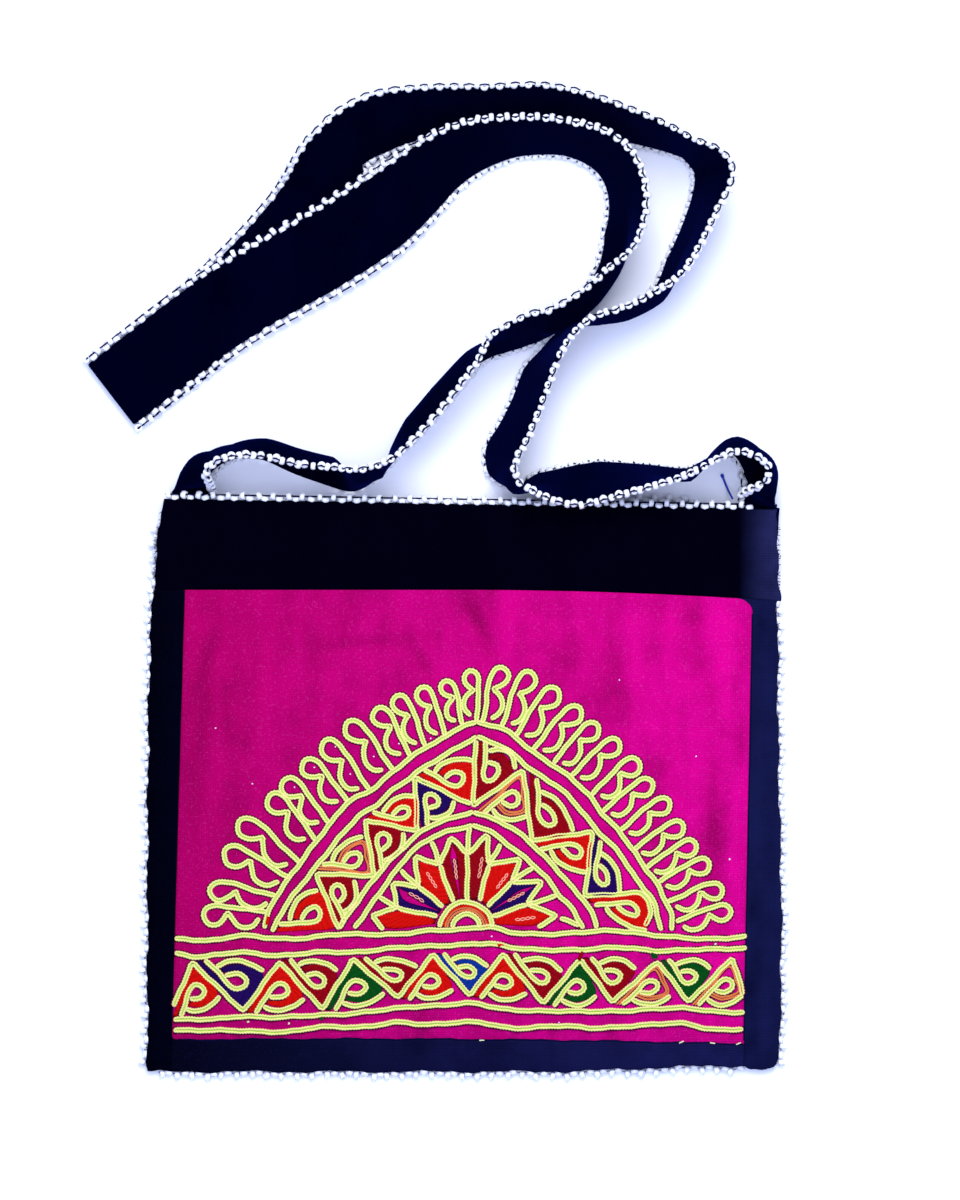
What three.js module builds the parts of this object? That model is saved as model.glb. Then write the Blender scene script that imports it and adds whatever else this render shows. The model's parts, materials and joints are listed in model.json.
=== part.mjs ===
// Embroidered shoulder purse of cotton, edged with strings of white seed beads, lying face up.
// Millimetres. The origin is the centre of the back panel's underside, +Y points to the mouth and the
// strap, and +Z points up out of the embroidered front.
import * as THREE from 'three';

const { degToRad, lerp, smoothstep } = THREE.MathUtils;

// Cloth thicknesses, and the clearance kept between neighbouring pieces
const BACK_CLOTH = 1.6;
const PANEL_CLOTH = 1.4;
const BORDER_CLOTH = 1.8;
const STRAP_CLOTH = 1.6;
const GAP = 0.3;

// Pouch outline: half width, half height, and how far the left edge and the two mouth edges lean
const HALF_WIDTH = 132.5;
const HALF_HEIGHT = 120.5;
const LEFT_TAPER = 7;
const FRONT_MOUTH_DROP = 4.5;
const BACK_MOUTH_RISE = 2;
const BACK_MOUTH_DROP = 1.5;
const MOUTH_LEFT = -126;
const MOUTH_RIGHT = 132;

// Magenta panel inside the navy frame
const PANEL_BOTTOM = -107.2;
const PANEL_TOP = 82.5;
const PANEL_LEFT = { bottom: -122.5, top: -117 };
const PANEL_RIGHT = { bottom: 118.7, top: 122.5 };
const PANEL_TOP_DROP = 4;
const PANEL_BOTTOM_SAG = 1.5;
const PANEL_BOTTOM_TILT = 1;

// The front swells over the empty pouch, and the mouth corners stand off by the sewn-in strap ends
const SWELL = 12;
const SWELL_AT_MOUTH = 6;
const SWELL_FADE = { from: 20, to: 110 };
const SIDE_SHARPNESS = 8;
const BOTTOM_SHARPNESS = 6;
const CORNER_LIFT = 5.5;
const CORNER_FADE = { from: 80, to: 100 };

// Soft creases in the front: middle, direction of the crease in degrees, half length, half width, depth
const CREASES = [
  { x: -97, y: 52, along: 60, length: 34, width: 9, depth: 1.6 },
  { x: -13, y: 57, along: 94, length: 30, width: 8, depth: 1.2 },
  { x: 84, y: 30, along: 112, length: 40, width: 10, depth: 1.4 },
  { x: 40, y: 99, along: 4, length: 55, width: 6, depth: 1.0 },
];

// Strings of seed beads sewn along the edges
const STRING_RADIUS = 1.5;
const STRING_SIDES = 8;
const STRING_OFFSET = STRING_RADIUS + GAP;
const STRAP_STRING_OFFSET = STRING_RADIUS + 2 * GAP;

// Where each string on the pouch starts and ends along its edge, and its number of straight lengths
const STRING_SPANS = {
  mouthFront: { from: -125, to: 122, steps: 20 },
  mouthBack: { from: -98, to: 98, steps: 4 },
  left: { from: -118, to: 96, steps: 10 },
  right: { from: -118, to: 78, steps: 4 },
  bottom: { from: -128, to: 118, steps: 4 },
};

// Strap: one strip of cloth, laid from the left mouth corner to a flat fold and back to the right corner
const STRAP_WIDTH = 32;
const ARC_HALF = { least: 2.8, most: 10.7 };
const SECTIONS_PER_ROW = 2;
const FOLD_RADIUS = 1.7;
const FOLD_SECTIONS = 5;
const STRINGS_START_Y = 127;

// Each row is one section of the strap: x, y of the middle between its two edges; lean, the degrees that
// the section is tipped up from lying flat, left edge raised; bend, the degrees that it is curled across
// its width; radius of the curl; lift, the height of its lowest point.
const UPPER_RUN = [
  [-105.0, 101.0, 90, -180, 1.6, 1.3],
  [-106.0, 124.5, 90, -180, 1.8, 1.2],
  [-107.2, 131.2, 84, -140, 7, 0],
  [-103.0, 135.6, 86, -95, 11, 0],
  [-96.0, 138.2, 88, -60, 12, 0],
  [-83.8, 139.0, 90, -65, 12, 0],
  [-70.0, 136.6, 90, -48, 12, 0],
  [-55.5, 134.0, 87, 0, 12, 0],
  [-45.6, 131.3, 82, 65, 12, 0],
  [-35.5, 132.5, 86, 45, 12, 0],
  [-27.5, 138.8, 90, -25, 12, 0],
  [-17.9, 148.9, 90, -70, 12, 0],
  [-6.5, 161.9, 90, -75, 12, 0],
  [6.5, 178.0, 88, -50, 12, 0],
  [14.6, 185.6, 74, -10, 12, 0],
  [22.6, 189.2, 71, 0, 12, 0],
  [30.2, 192.4, 74, 0, 12, 0],
  [36.5, 196.2, 84, 25, 12, 0],
  [43.5, 201.2, 90, 55, 12, 0],
  [52.3, 208.4, 90, 65, 12, 0],
  [61.2, 216.6, 92, 55, 12, 0],
  [67.5, 228.0, 108, 15, 12, 0],
  [69.3, 244.0, 117, 0, 12, 0],
  [66.5, 257.5, 119, 0, 12, 0],
  [59.0, 266.0, 118, 0, 12, 0],
  [44.0, 271.6, 114, 0, 12, 0],
  [22.5, 272.2, 118, 0, 12, 0],
  [3.4, 267.6, 129, 0, 12, 0],
  [-9.5, 260.5, 137, 0, 12, 0],
  [-22.0, 250.0, 150, 0, 12, 2],
  [-35.0, 239.2, 164, 0, 12, 3.4],
  [-56.0, 225.6, 177, 0, 12, 3.6],
  [-102.0, 199.0, 180, 0, 12, 3.4],
  [-146.0, 165.7, 180, 0, 12, 3.4],
];
const UNDER_RUN = [
  [-146.0, 165.7, 0, 0, 12, 0],
  [-106.0, 196.5, 0, 0, 12, 0],
  [-77.0, 225.0, 0, 0, 12, 0],
  [-60.5, 246.0, 2, 0, 12, 0],
  [-47.0, 265.5, 18, 0, 12, 0],
  [-33.5, 278.0, 42, 0, 12, 0],
  [-14.5, 282.6, 52, 0, 12, 0],
  [10.0, 284.6, 60, 0, 12, 0],
  [34.7, 285.4, 60, 0, 12, 0],
  [59.0, 280.2, 63, 0, 12, 0],
  [96.5, 263.6, 66, 0, 12, 0],
  [105.0, 256.7, 64, 0, 12, 0],
  [101.9, 244.7, 70, 0, 12, 0],
  [89.7, 218.6, 75, -10, 12, 0],
  [80.9, 207.6, 88, -40, 12, 0],
  [67.8, 200.4, 90, -40, 12, 0],
  [55.5, 196.8, 90, -25, 12, 0],
  [47.5, 193.0, 88, 0, 12, 0],
  [41.5, 187.6, 84, 0, 12, 0],
  [36.2, 180.2, 76, 0, 12, 0],
  [31.4, 172.5, 69, 0, 12, 0],
  [26.8, 160.4, 69, 0, 12, 0],
  [21.4, 148.5, 67, 0, 12, 0],
  [16.6, 140.1, 66, 0, 12, 0],
  [16.6, 133.0, 70, 0, 12, 0],
  [25.0, 128.6, 92, 0, 12, 0],
  [40.9, 127.8, 112, 0, 12, 0],
  [58.6, 128.5, 115, 0, 12, 0],
  [77.9, 130.0, 106, 0, 12, 0],
  [94.7, 132.5, 98, 25, 12, 0],
  [107.0, 138.0, 92, -20, 12, 0],
  [114.5, 139.8, 86, -55, 12, 0],
  [120.8, 137.0, 76, -55, 12, 0],
  [123.4, 132.2, 75, -75, 11, 0],
  [121.5, 127.6, 83, -120, 8, 0],
  [118.0, 121.8, 90, -180, 2, 1.0],
  [116.4, 116.0, 90, -180, 1.8, 1.2],
  [115.3, 103.1, 90, -180, 1.6, 1.3],
];

const navyCotton = new THREE.MeshStandardMaterial({ color: 0x0d0c2b, roughness: 0.9, metalness: 0 });
const magentaCotton = new THREE.MeshStandardMaterial({ color: 0xbf0480, roughness: 0.85, metalness: 0 });
const whiteBeads = new THREE.MeshStandardMaterial({ color: 0xf6f5f0, roughness: 0.25, metalness: 0 });

// Outline of the pouch and of its panel
const leftEdge = (y) => -HALF_WIDTH + LEFT_TAPER * Math.max(0, (y + HALF_HEIGHT) / (2 * HALF_HEIGHT)) ** 6;
const rightEdge = () => HALF_WIDTH;
const bottomEdge = () => -HALF_HEIGHT;
const alongMouth = (x) => (x - MOUTH_LEFT) / (MOUTH_RIGHT - MOUTH_LEFT);
const frontMouth = (x) => HALF_HEIGHT - FRONT_MOUTH_DROP * alongMouth(x);
const backMouth = (x) => HALF_HEIGHT + BACK_MOUTH_RISE - BACK_MOUTH_DROP * alongMouth(x);
const panelShare = (y) => (y - PANEL_BOTTOM) / (PANEL_TOP - PANEL_BOTTOM);
const panelLeft = (y) => lerp(PANEL_LEFT.bottom, PANEL_LEFT.top, panelShare(y));
const panelRight = (y) => lerp(PANEL_RIGHT.bottom, PANEL_RIGHT.top, panelShare(y));
const panelTop = (x) => PANEL_TOP - PANEL_TOP_DROP * Math.max(0, x / PANEL_RIGHT.top) ** 2;
const panelBottom = (x) => (
  PANEL_BOTTOM - PANEL_BOTTOM_SAG * (x / HALF_WIDTH) ** 2 - PANEL_BOTTOM_TILT * (x / HALF_WIDTH)
);

// Depth of all the creases at one place: each is a soft trough that fades along and across its line
function creaseDepth(x, y) {
  return CREASES.reduce((sum, crease) => {
    const angle = degToRad(crease.along);
    const along = (x - crease.x) * Math.cos(angle) + (y - crease.y) * Math.sin(angle);
    const across = (y - crease.y) * Math.cos(angle) - (x - crease.x) * Math.sin(angle);
    return sum + crease.depth * Math.exp(-((along / crease.length) ** 2) - (across / crease.width) ** 2);
  }, 0);
}

// Height of the front's underside: flat against the back at the seams, swollen in the middle
function frontHeight(x, y) {
  const side = Math.min(1, Math.abs(x < 0 ? x / leftEdge(y) : x / rightEdge(y)));
  const foot = Math.min(1, Math.max(0, -y / HALF_HEIGHT));
  const peak = lerp(SWELL, SWELL_AT_MOUTH, smoothstep(y, SWELL_FADE.from, SWELL_FADE.to));
  const inside = (1 - side ** SIDE_SHARPNESS) * (1 - foot ** BOTTOM_SHARPNESS);
  const corner = CORNER_LIFT * smoothstep(y, CORNER_FADE.from, CORNER_FADE.to);
  return BACK_CLOTH + GAP + corner + inside * (peak - creaseDepth(x, y));
}

// A closed wall over a grid: place(across, along, side) gives the points of its under (0) and upper (1) face
function closedWall(columns, rows, place) {
  const positions = [];
  const width = columns + 1;
  const layer = width * (rows + 1);
  for (const side of [0, 1]) {
    for (let j = 0; j <= rows; j += 1) {
      for (let i = 0; i <= columns; i += 1) positions.push(...place(i / columns, j / rows, side));
    }
  }
  const index = [];
  const quad = (a, b, c, d) => index.push(a, b, c, a, c, d);
  for (let j = 0; j < rows; j += 1) {
    for (let i = 0; i < columns; i += 1) {
      const a = j * width + i;
      quad(a, a + width, a + width + 1, a + 1);
      quad(layer + a, layer + a + 1, layer + a + width + 1, layer + a + width);
    }
  }
  for (let i = 0; i < columns; i += 1) {
    const far = rows * width + i;
    quad(i, i + 1, layer + i + 1, layer + i);
    quad(far + 1, far, layer + far, layer + far + 1);
  }
  for (let j = 0; j < rows; j += 1) {
    const near = j * width;
    const far = near + columns;
    quad(near + width, near, layer + near, layer + near + width);
    quad(far, far + width, layer + far + width, layer + far);
  }
  const geometry = new THREE.BufferGeometry();
  geometry.setAttribute('position', new THREE.Float32BufferAttribute(positions, 3));
  geometry.setIndex(index);
  geometry.computeVertexNormals();
  return geometry;
}

// A piece of the front between four edges, following the swell of the pouch
function frontPiece({ left, right, bottom, top, columns, rows, thickness, spread = (u) => u }) {
  return closedWall(columns, rows, (u, v, side) => {
    const middle = lerp(bottom(0), top(0), v);
    const x = lerp(left(middle), right(middle), spread(u));
    const y = lerp(bottom(x), top(x), v);
    return [x, y, frontHeight(x, y) + side * thickness];
  });
}

// Columns that crowd towards both ends, where the swell falls away
const crowdedEnds = (u) => 0.5 - 0.5 * Math.cos(Math.PI * u);

function backPanel() {
  const outline = new THREE.Shape();
  const steps = 8;
  outline.moveTo(-HALF_WIDTH, -HALF_HEIGHT);
  outline.lineTo(HALF_WIDTH, -HALF_HEIGHT);
  outline.lineTo(HALF_WIDTH, backMouth(HALF_WIDTH));
  for (let k = steps; k > 0; k -= 1) {
    const y = lerp(-HALF_HEIGHT, backMouth(MOUTH_LEFT), k / steps);
    outline.lineTo(leftEdge(Math.min(y, HALF_HEIGHT)), y);
  }
  return new THREE.ExtrudeGeometry(outline, { depth: BACK_CLOTH, bevelEnabled: false });
}

const frontPanel = () => frontPiece({
  left: (y) => panelLeft(y) + GAP / 2,
  right: (y) => panelRight(y) - GAP / 2,
  bottom: (x) => panelBottom(x) + GAP / 2,
  top: (x) => panelTop(x) - GAP / 2,
  columns: 20,
  rows: 14,
  thickness: PANEL_CLOTH,
  spread: crowdedEnds,
});

const topBand = () => frontPiece({
  left: leftEdge,
  right: rightEdge,
  bottom: (x) => panelTop(x) + GAP / 2,
  top: frontMouth,
  columns: 22,
  rows: 5,
  thickness: BORDER_CLOTH,
  spread: crowdedEnds,
});

const sideBorder = (left, right) => frontPiece({
  left,
  right,
  bottom: bottomEdge,
  top: (x) => panelTop(x) - GAP / 2,
  columns: 4,
  rows: 12,
  thickness: BORDER_CLOTH,
});

const bottomBorder = () => frontPiece({
  left: (y) => panelLeft(y) + GAP / 2,
  right: (y) => panelRight(y) - GAP / 2,
  bottom: bottomEdge,
  top: (x) => panelBottom(x) - GAP / 2,
  columns: 20,
  rows: 3,
  thickness: BORDER_CLOTH,
  spread: crowdedEnds,
});

// A smooth curve whose steps fall on the points it was given
class StationCurve extends THREE.CatmullRomCurve3 {
  getUtoTmapping(u) {
    return u;
  }
}

// A string of beads as a round rod along a row of points
function beadString(points) {
  const section = new THREE.Shape();
  for (let k = 0; k < STRING_SIDES; k += 1) {
    const angle = (2 * Math.PI * (k + 0.5)) / STRING_SIDES;
    const x = STRING_RADIUS * Math.cos(angle);
    const y = STRING_RADIUS * Math.sin(angle);
    if (k === 0) section.moveTo(x, y);
    else section.lineTo(x, y);
  }
  const extrudePath = new StationCurve(points);
  return new THREE.ExtrudeGeometry(section, { steps: points.length - 1, bevelEnabled: false, extrudePath });
}

// A string along one edge of the pouch, with place() giving each of its points
function edgeString({ from, to, steps }, place) {
  const points = [];
  for (let k = 0; k <= steps; k += 1) points.push(new THREE.Vector3(...place(lerp(from, to, k / steps))));
  return beadString(points);
}

const mouthStringFront = () => edgeString(STRING_SPANS.mouthFront, (x) => [
  x, frontMouth(x) + STRING_OFFSET, frontHeight(x, frontMouth(x)) + BORDER_CLOTH / 2,
]);
const mouthStringBack = () => edgeString(STRING_SPANS.mouthBack, (x) => [
  x, backMouth(x) + STRING_OFFSET, STRING_RADIUS,
]);
const leftString = () => edgeString(STRING_SPANS.left, (y) => [
  leftEdge(y) - STRING_OFFSET, y, STRING_RADIUS,
]);
const rightString = () => edgeString(STRING_SPANS.right, (y) => [
  HALF_WIDTH + STRING_OFFSET, y, STRING_RADIUS,
]);
const bottomString = () => edgeString(STRING_SPANS.bottom, (x) => [
  x, -HALF_HEIGHT - STRING_OFFSET, STRING_RADIUS,
]);

// One section of the strap: a flat leg, an arc and a second leg, tipped by lean and curled by bend.
// It holds the points across the cloth with their facing, and the middles of the two bead strings.
function strapSection({ middle, forward, lean, bend, radius, lift }) {
  const toLeft = new THREE.Vector3(-forward.y, forward.x, 0);
  const up = new THREE.Vector3(0, 0, 1);
  const tip = degToRad(lean);
  const edgeward = toLeft.clone().multiplyScalar(Math.cos(tip)).addScaledVector(up, Math.sin(tip));
  const facing = toLeft.clone().multiplyScalar(-Math.sin(tip)).addScaledVector(up, Math.cos(tip));
  const way = bend < 0 ? -1 : 1;
  const half = degToRad(Math.abs(bend)) / 2;
  const arc = radius * half;
  const chord = radius * Math.cos(half) - (STRAP_WIDTH / 2 - arc) * Math.sin(half);

  const at = (s) => {
    const turn = Math.sign(s) * Math.min(Math.abs(s) / radius, half);
    const leg = Math.sign(s) * Math.max(0, Math.abs(s) - arc);
    const outward = radius * Math.sin(turn) + leg * Math.cos(turn);
    const bulge = radius * Math.cos(turn) - leg * Math.sin(turn) - chord;
    return {
      point: edgeward.clone().multiplyScalar(outward).addScaledVector(facing, way * bulge),
      face: edgeward.clone().multiplyScalar(way * Math.sin(turn)).addScaledVector(facing, Math.cos(turn)),
    };
  };
  const bendPoint = THREE.MathUtils.clamp(arc, ARC_HALF.least, ARC_HALF.most);
  const places = [STRAP_WIDTH / 2, bendPoint, bendPoint / 2, 0, -bendPoint / 2, -bendPoint, -STRAP_WIDTH / 2];
  const across = places.map(at);
  const stringA = at(STRAP_WIDTH / 2 + STRAP_STRING_OFFSET).point;
  const stringB = at(-STRAP_WIDTH / 2 - STRAP_STRING_OFFSET).point;

  const lowest = Math.min(
    stringA.z - STRING_RADIUS,
    stringB.z - STRING_RADIUS,
    ...across.map(({ point, face }) => point.z - Math.abs(face.z) * STRAP_CLOTH / 2),
  );
  const base = new THREE.Vector3(middle.x, middle.y, lift - lowest);
  [stringA, stringB, ...across.map(({ point }) => point)].forEach((point) => point.add(base));
  return { base, edgeward, across, stringA, stringB };
}

// The sections of one run, with the plan drawn as a smooth curve through the rows
function runSections(rows) {
  const plan = new THREE.CatmullRomCurve3(rows.map(([x, y]) => new THREE.Vector3(x, y, 0)));
  const spans = rows.length - 1;
  const sections = [];
  for (let k = 0; k <= spans * SECTIONS_PER_ROW; k += 1) {
    const place = k / SECTIONS_PER_ROW;
    const row = Math.min(Math.floor(place), spans - 1);
    const [, , lean, bend, radius, lift] = rows[row].map((value, column) => (
      lerp(value, rows[row + 1][column], place - row)
    ));
    const middle = plan.getPoint(place / spans);
    const forward = plan.getTangent(place / spans);
    sections.push(strapSection({ middle, forward, lean, bend, radius, lift }));
  }
  return sections;
}

// The half turn that carries the end of the upper run down into the start of the under run
function foldSections(section, forward) {
  const up = new THREE.Vector3(0, 0, 1);
  const centre = section.base.clone().addScaledVector(up, -FOLD_RADIUS);
  const half = STRAP_WIDTH / 2;
  const sections = [];
  for (let k = 1; k <= FOLD_SECTIONS; k += 1) {
    const angle = (Math.PI * k) / (FOLD_SECTIONS + 1);
    const outward = up.clone().multiplyScalar(Math.cos(angle)).addScaledVector(forward, Math.sin(angle));
    const base = centre.clone().addScaledVector(outward, FOLD_RADIUS);
    const face = outward.clone().negate();
    const at = (s) => base.clone().addScaledVector(section.edgeward, s);
    const places = [half, ARC_HALF.least, ARC_HALF.least / 2, 0];
    const across = [...places, ...places.slice(0, -1).reverse().map((s) => -s)]
      .map((s) => ({ point: at(s), face }));
    const stringA = at(half + STRAP_STRING_OFFSET);
    const stringB = at(-half - STRAP_STRING_OFFSET);
    sections.push({ base, edgeward: section.edgeward, across, stringA, stringB });
  }
  return sections;
}

const upperSections = runSections(UPPER_RUN);
const underSections = runSections(UNDER_RUN);
const lastUpper = upperSections.at(-1);
const foldForward = new THREE.Vector3(0, 0, 1).cross(lastUpper.edgeward);
const foldedSections = foldSections(lastUpper, foldForward);

function strap() {
  const sections = [...upperSections, ...foldedSections, ...underSections];
  const columns = sections[0].across.length - 1;
  return closedWall(columns, sections.length - 1, (u, v, side) => {
    const { point, face } = sections[Math.round(v * (sections.length - 1))].across[Math.round(u * columns)];
    return point.clone().addScaledVector(face, (side - 0.5) * STRAP_CLOTH).toArray();
  });
}

// A strap string runs only where the strap is outside the pouch
const outsidePouch = (sections) => sections.filter(({ base }) => base.y > STRINGS_START_Y);
const strapString = (sections, edge) => beadString(outsidePouch(sections).map((section) => section[edge]));
const underWithFold = [...foldedSections.slice(1), ...underSections];

const purse = new THREE.Group();
purse.name = 'embroidered_shoulder_purse';

function add(name, geometry, material) {
  const mesh = new THREE.Mesh(geometry, material);
  mesh.name = name;
  purse.add(mesh);
}

add('back_panel', backPanel(), navyCotton);
add('front_panel', frontPanel(), magentaCotton);
add('top_band', topBand(), navyCotton);
add('left_border', sideBorder(leftEdge, (y) => panelLeft(y) - GAP / 2), navyCotton);
add('right_border', sideBorder((y) => panelRight(y) + GAP / 2, rightEdge), navyCotton);
add('bottom_border', bottomBorder(), navyCotton);
add('strap', strap(), navyCotton);
add('mouth_beads_front', mouthStringFront(), whiteBeads);
add('mouth_beads_back', mouthStringBack(), whiteBeads);
add('left_side_beads', leftString(), whiteBeads);
add('right_side_beads', rightString(), whiteBeads);
add('bottom_beads', bottomString(), whiteBeads);
add('strap_beads_a_upper', strapString(upperSections, 'stringA'), whiteBeads);
add('strap_beads_a_under', strapString(underWithFold, 'stringA'), whiteBeads);
add('strap_beads_b_upper', strapString(upperSections, 'stringB'), whiteBeads);
add('strap_beads_b_under', strapString(underWithFold, 'stringB'), whiteBeads);

export default purse;
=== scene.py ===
"""Embroidered shoulder purse: navy and magenta cotton, chain-stitch embroidery, seed-bead edging.

Sizes are in millimetres in the purse's own frame: X to the right of the front, Y towards the mouth and
the strap, Z up out of the embroidered front. Each piece is worked out as arrays of points in that frame,
which become metres when its mesh is made.
"""

import json
import math
from collections import namedtuple

import bpy
import numpy as np
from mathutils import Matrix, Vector

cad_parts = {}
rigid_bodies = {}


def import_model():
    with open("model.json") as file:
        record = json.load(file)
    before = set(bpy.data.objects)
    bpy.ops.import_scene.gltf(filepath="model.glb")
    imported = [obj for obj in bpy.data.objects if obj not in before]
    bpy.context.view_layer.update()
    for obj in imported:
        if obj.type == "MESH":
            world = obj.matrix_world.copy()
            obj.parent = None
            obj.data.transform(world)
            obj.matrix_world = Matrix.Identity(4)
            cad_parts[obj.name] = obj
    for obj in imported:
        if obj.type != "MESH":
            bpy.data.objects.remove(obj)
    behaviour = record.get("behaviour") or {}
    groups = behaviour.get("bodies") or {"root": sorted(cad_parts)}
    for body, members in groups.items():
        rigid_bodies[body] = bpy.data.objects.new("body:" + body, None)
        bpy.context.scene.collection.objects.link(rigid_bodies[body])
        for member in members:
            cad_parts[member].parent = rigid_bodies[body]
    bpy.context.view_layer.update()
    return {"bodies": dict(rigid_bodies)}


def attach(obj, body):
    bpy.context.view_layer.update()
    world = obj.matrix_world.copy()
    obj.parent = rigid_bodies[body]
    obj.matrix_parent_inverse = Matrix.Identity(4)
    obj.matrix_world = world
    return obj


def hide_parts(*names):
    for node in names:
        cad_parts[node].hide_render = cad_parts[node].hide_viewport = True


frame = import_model()

MM = 0.001
BODY = next(iter(frame["bodies"]))
rng = np.random.default_rng(11)

# Shorter vectors than this have no direction
NO_LENGTH = 1e-9

# Cloth thicknesses, and the clearance between neighbouring pieces
BACK_CLOTH = 1.6
PANEL_CLOTH = 1.4
BORDER_CLOTH = 1.8
STRAP_CLOTH = 1.6
GAP = 0.3
# A cloth is rounded over this width of its rim, with points at these shares of it
RIM = 0.9
RIM_SHARES = (0, 0.07, 0.25, 0.55, 1)
# A border's folded edge laps over the panel: how far from its own side of the gap, and from the seam's line
BORDER_LAP = 0.5
OVER_PANEL = BORDER_LAP - GAP / 2
# Width and height of each cloth by which its rims are measured, then its steps across and up
BACK_GRID = ((265, 241), (60, 60))
PANEL_GRID = ((240, 190), (150, 120))
BAND_GRID = ((265, 38), (150, 34))
SIDE_GRID = ((15, 241), (12, 110))
BOTTOM_GRID = ((240, 14), (130, 12))
# Rounds in which the places across and up a cloth are fitted to each other
FITTING_ROUNDS = 3

# Pouch outline: half width and half height, and how far the left edge and the front's mouth edge lean. The
# back's mouth edge lies lower than the front's by its drop, and rises over a span of x
HALF_WIDTH = 132.5
HALF_HEIGHT = 120.5
LEFT_TAPER = 7
LEFT_TAPER_POWER = 6
FRONT_MOUTH_DROP = 4.5
BACK_MOUTH_DROP = 0.8
BACK_MOUTH_RISE = 3
BACK_MOUTH_SPAN = (25, 75)
MOUTH_LEFT = -126
MOUTH_RIGHT = 132

# Magenta panel inside the navy frame
PANEL_BOTTOM = -107.2
PANEL_TOP = 82.5
PANEL_LEFT = (-122.5, -117)
PANEL_RIGHT = (118.7, 122.5)
PANEL_TOP_DROP = 4
PANEL_BOTTOM_SAG = 1.5
PANEL_BOTTOM_TILT = 1

# The front swells over the empty pouch, and the mouth corners stand off by the sewn-in strap ends
SWELL = 12
SWELL_AT_MOUTH = 6
SWELL_FADE = (20, 110)
SIDE_SHARPNESS = 8
BOTTOM_SHARPNESS = 6
CORNER_LIFT = 5.5
CORNER_FADE = (80, 100)

# Soft creases of the whole front: x, y, direction in degrees, half length, half width, depth
CREASES = [
    (-97, 52, 60, 34, 9, 1.6),
    (-13, 57, 94, 30, 8, 1.2),
    (84, 30, 112, 40, 10, 1.4),
    (40, 99, 4, 55, 6, 1.0),
]
# Small wrinkles of the cloth itself, in the same columns; a negative depth is a ridge
WRINKLES = [
    (-108, 52, 70, 18, 3.5, 1.5),
    (-111, 15, 88, 30, 4, 1.0),
    (-103, 28, 86, 36, 5, -0.7),
    (-40, 60, 4, 20, 2.6, 1.0),
    (-17, 53, 120, 9, 2.4, 1.5),
    (8, 66, 112, 15, 3, 1.8),
    (20, 68, 96, 16, 4, -1.0),
    (62, 60, 97, 28, 6, 1.0),
    (78, 8, 100, 26, 4, 1.0),
    (104, -18, 92, 42, 5, 1.0),
    (112, 40, 90, 36, 5, -0.8),
    (-60, 104, 14, 30, 5, 0.5),
    (62, 96, 170, 34, 5, 0.6),
]
# Puckers where the stitching and the bottom seam gather the panel: pitch; how far they drift along, as a
# share of the pitch, the length that the drift goes by and its turn from row to row; y, half width and
# height of each row
PUCKER_PITCH = 9
PUCKER_DRIFT = 0.4
DRIFT_LENGTH = 17
DRIFT_TURN = 2
PUCKER_ROWS = [(-66.5, 3, 0.5), (-83, 9, 0.2), (-100, 2.6, 0.6), (-107, 3.2, 0.7)]
# The hems wander a little: lengths and heights of their waves
HEM_WAVES = [(37, 0.4), (13.7, 0.25), (6.4, 0.16)]
# Bulge of the right edge: how far, about which y, and its half length
RIGHT_BULGE = 1.6
BULGE_Y = -60
BULGE_HALF = 60
# Rise of the bottom edge, over a span of x, the share of it that is lost again at the right border, and the
# radius of the round corner at its right end
BOTTOM_RISE = 2.4
RISE_SPAN = (35, 110)
LOST_RISE = 0.6
LOST_SPAN = (118.5, 121)
FOOT_CORNER = 3.5
# Rounded corners of the panel's opening, at its bottom left and its top right
LOWER_CORNER = 3
UPPER_CORNER = 6.5
# The band along the mouth: depth and height of its turned-in hem, and half the width of the step up to it;
# x, half width and depth of the seam at its right end; lowest and highest y and width of the corner that
# stands out below that end
HEM_DEPTH = 6
HEM_HEIGHT = 0.5
HEM_STEP = 1
END_SEAM = (117.5, 1.6, 0.7)
FLAP_SPAN = (79.5, 85)
FLAP = 1.6
# The back's mouth edge stands off the floor between the strap's ends: how far, from which y to which, the
# half width over which it does, and the power with which it falls off sideways
BACK_LIFT = 4
BACK_LIFT_SPAN = (98, 119)
BACK_LIFT_HALF = 100
BACK_LIFT_POWER = 4
# Dark sewing thread in the panel's bottom and right seams, which stands as painted shadow in them: how far
# inside the panel, its radius, and the steps along each seam
SEAM_INSET = 0.45
SEAM_RADIUS = 0.35
BOTTOM_SEAM_STEPS = 160
RIGHT_SEAM_STEPS = 130

# Strings of seed beads sewn along the edges, and where each on the pouch starts and ends
STRING_RADIUS = 1.5
STRING_OFFSET = STRING_RADIUS + GAP
STRAP_STRING_OFFSET = STRING_RADIUS + 2 * GAP
STRING_STEPS = 120
MOUTH_FRONT_SPAN = (-125, 122)
MOUTH_BACK_SPAN = (-98, 98)
LEFT_SPAN = (-118, 112)
RIGHT_SPAN = (-118, 78)
BOTTOM_SPAN = (-128, 118)

# A seed bead: outer and hole radius, half length, and how square its section is
BEAD_RADIUS = 1.72
BEAD_HOLE = 0.5
BEAD_HALF_LENGTH = 1.08
BEAD_SIDES = 12
BEAD_RINGS = 6
BEAD_SQUARENESS = 0.75
# Beads go in pairs, one along the edge and one facing out: where each of the two sits, as a share of the
# pitch, and how much closer to the cloth the facing one lies
PAIR_PITCH = 6.4
ALONG_SHARE = 0.26
FACING_SHARE = 0.74
FACING_INSET = 1.25
# Beads are tilted and spaced a little unevenly: spread of the tilt, of the place along and of the size
BEAD_TILT = 0.2
BEAD_SHIFT = 0.3
BEAD_GROWTH = 0.035
# Sewing thread: how far it runs outside the middle of a string, and its radius. It lies over the beads of
# the front's mouth and the strap, and is drawn in among the others
THREAD_OVER = (0.15, 0.33)
THREAD_DRAWN_IN = (-0.9, 0.13)
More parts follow.
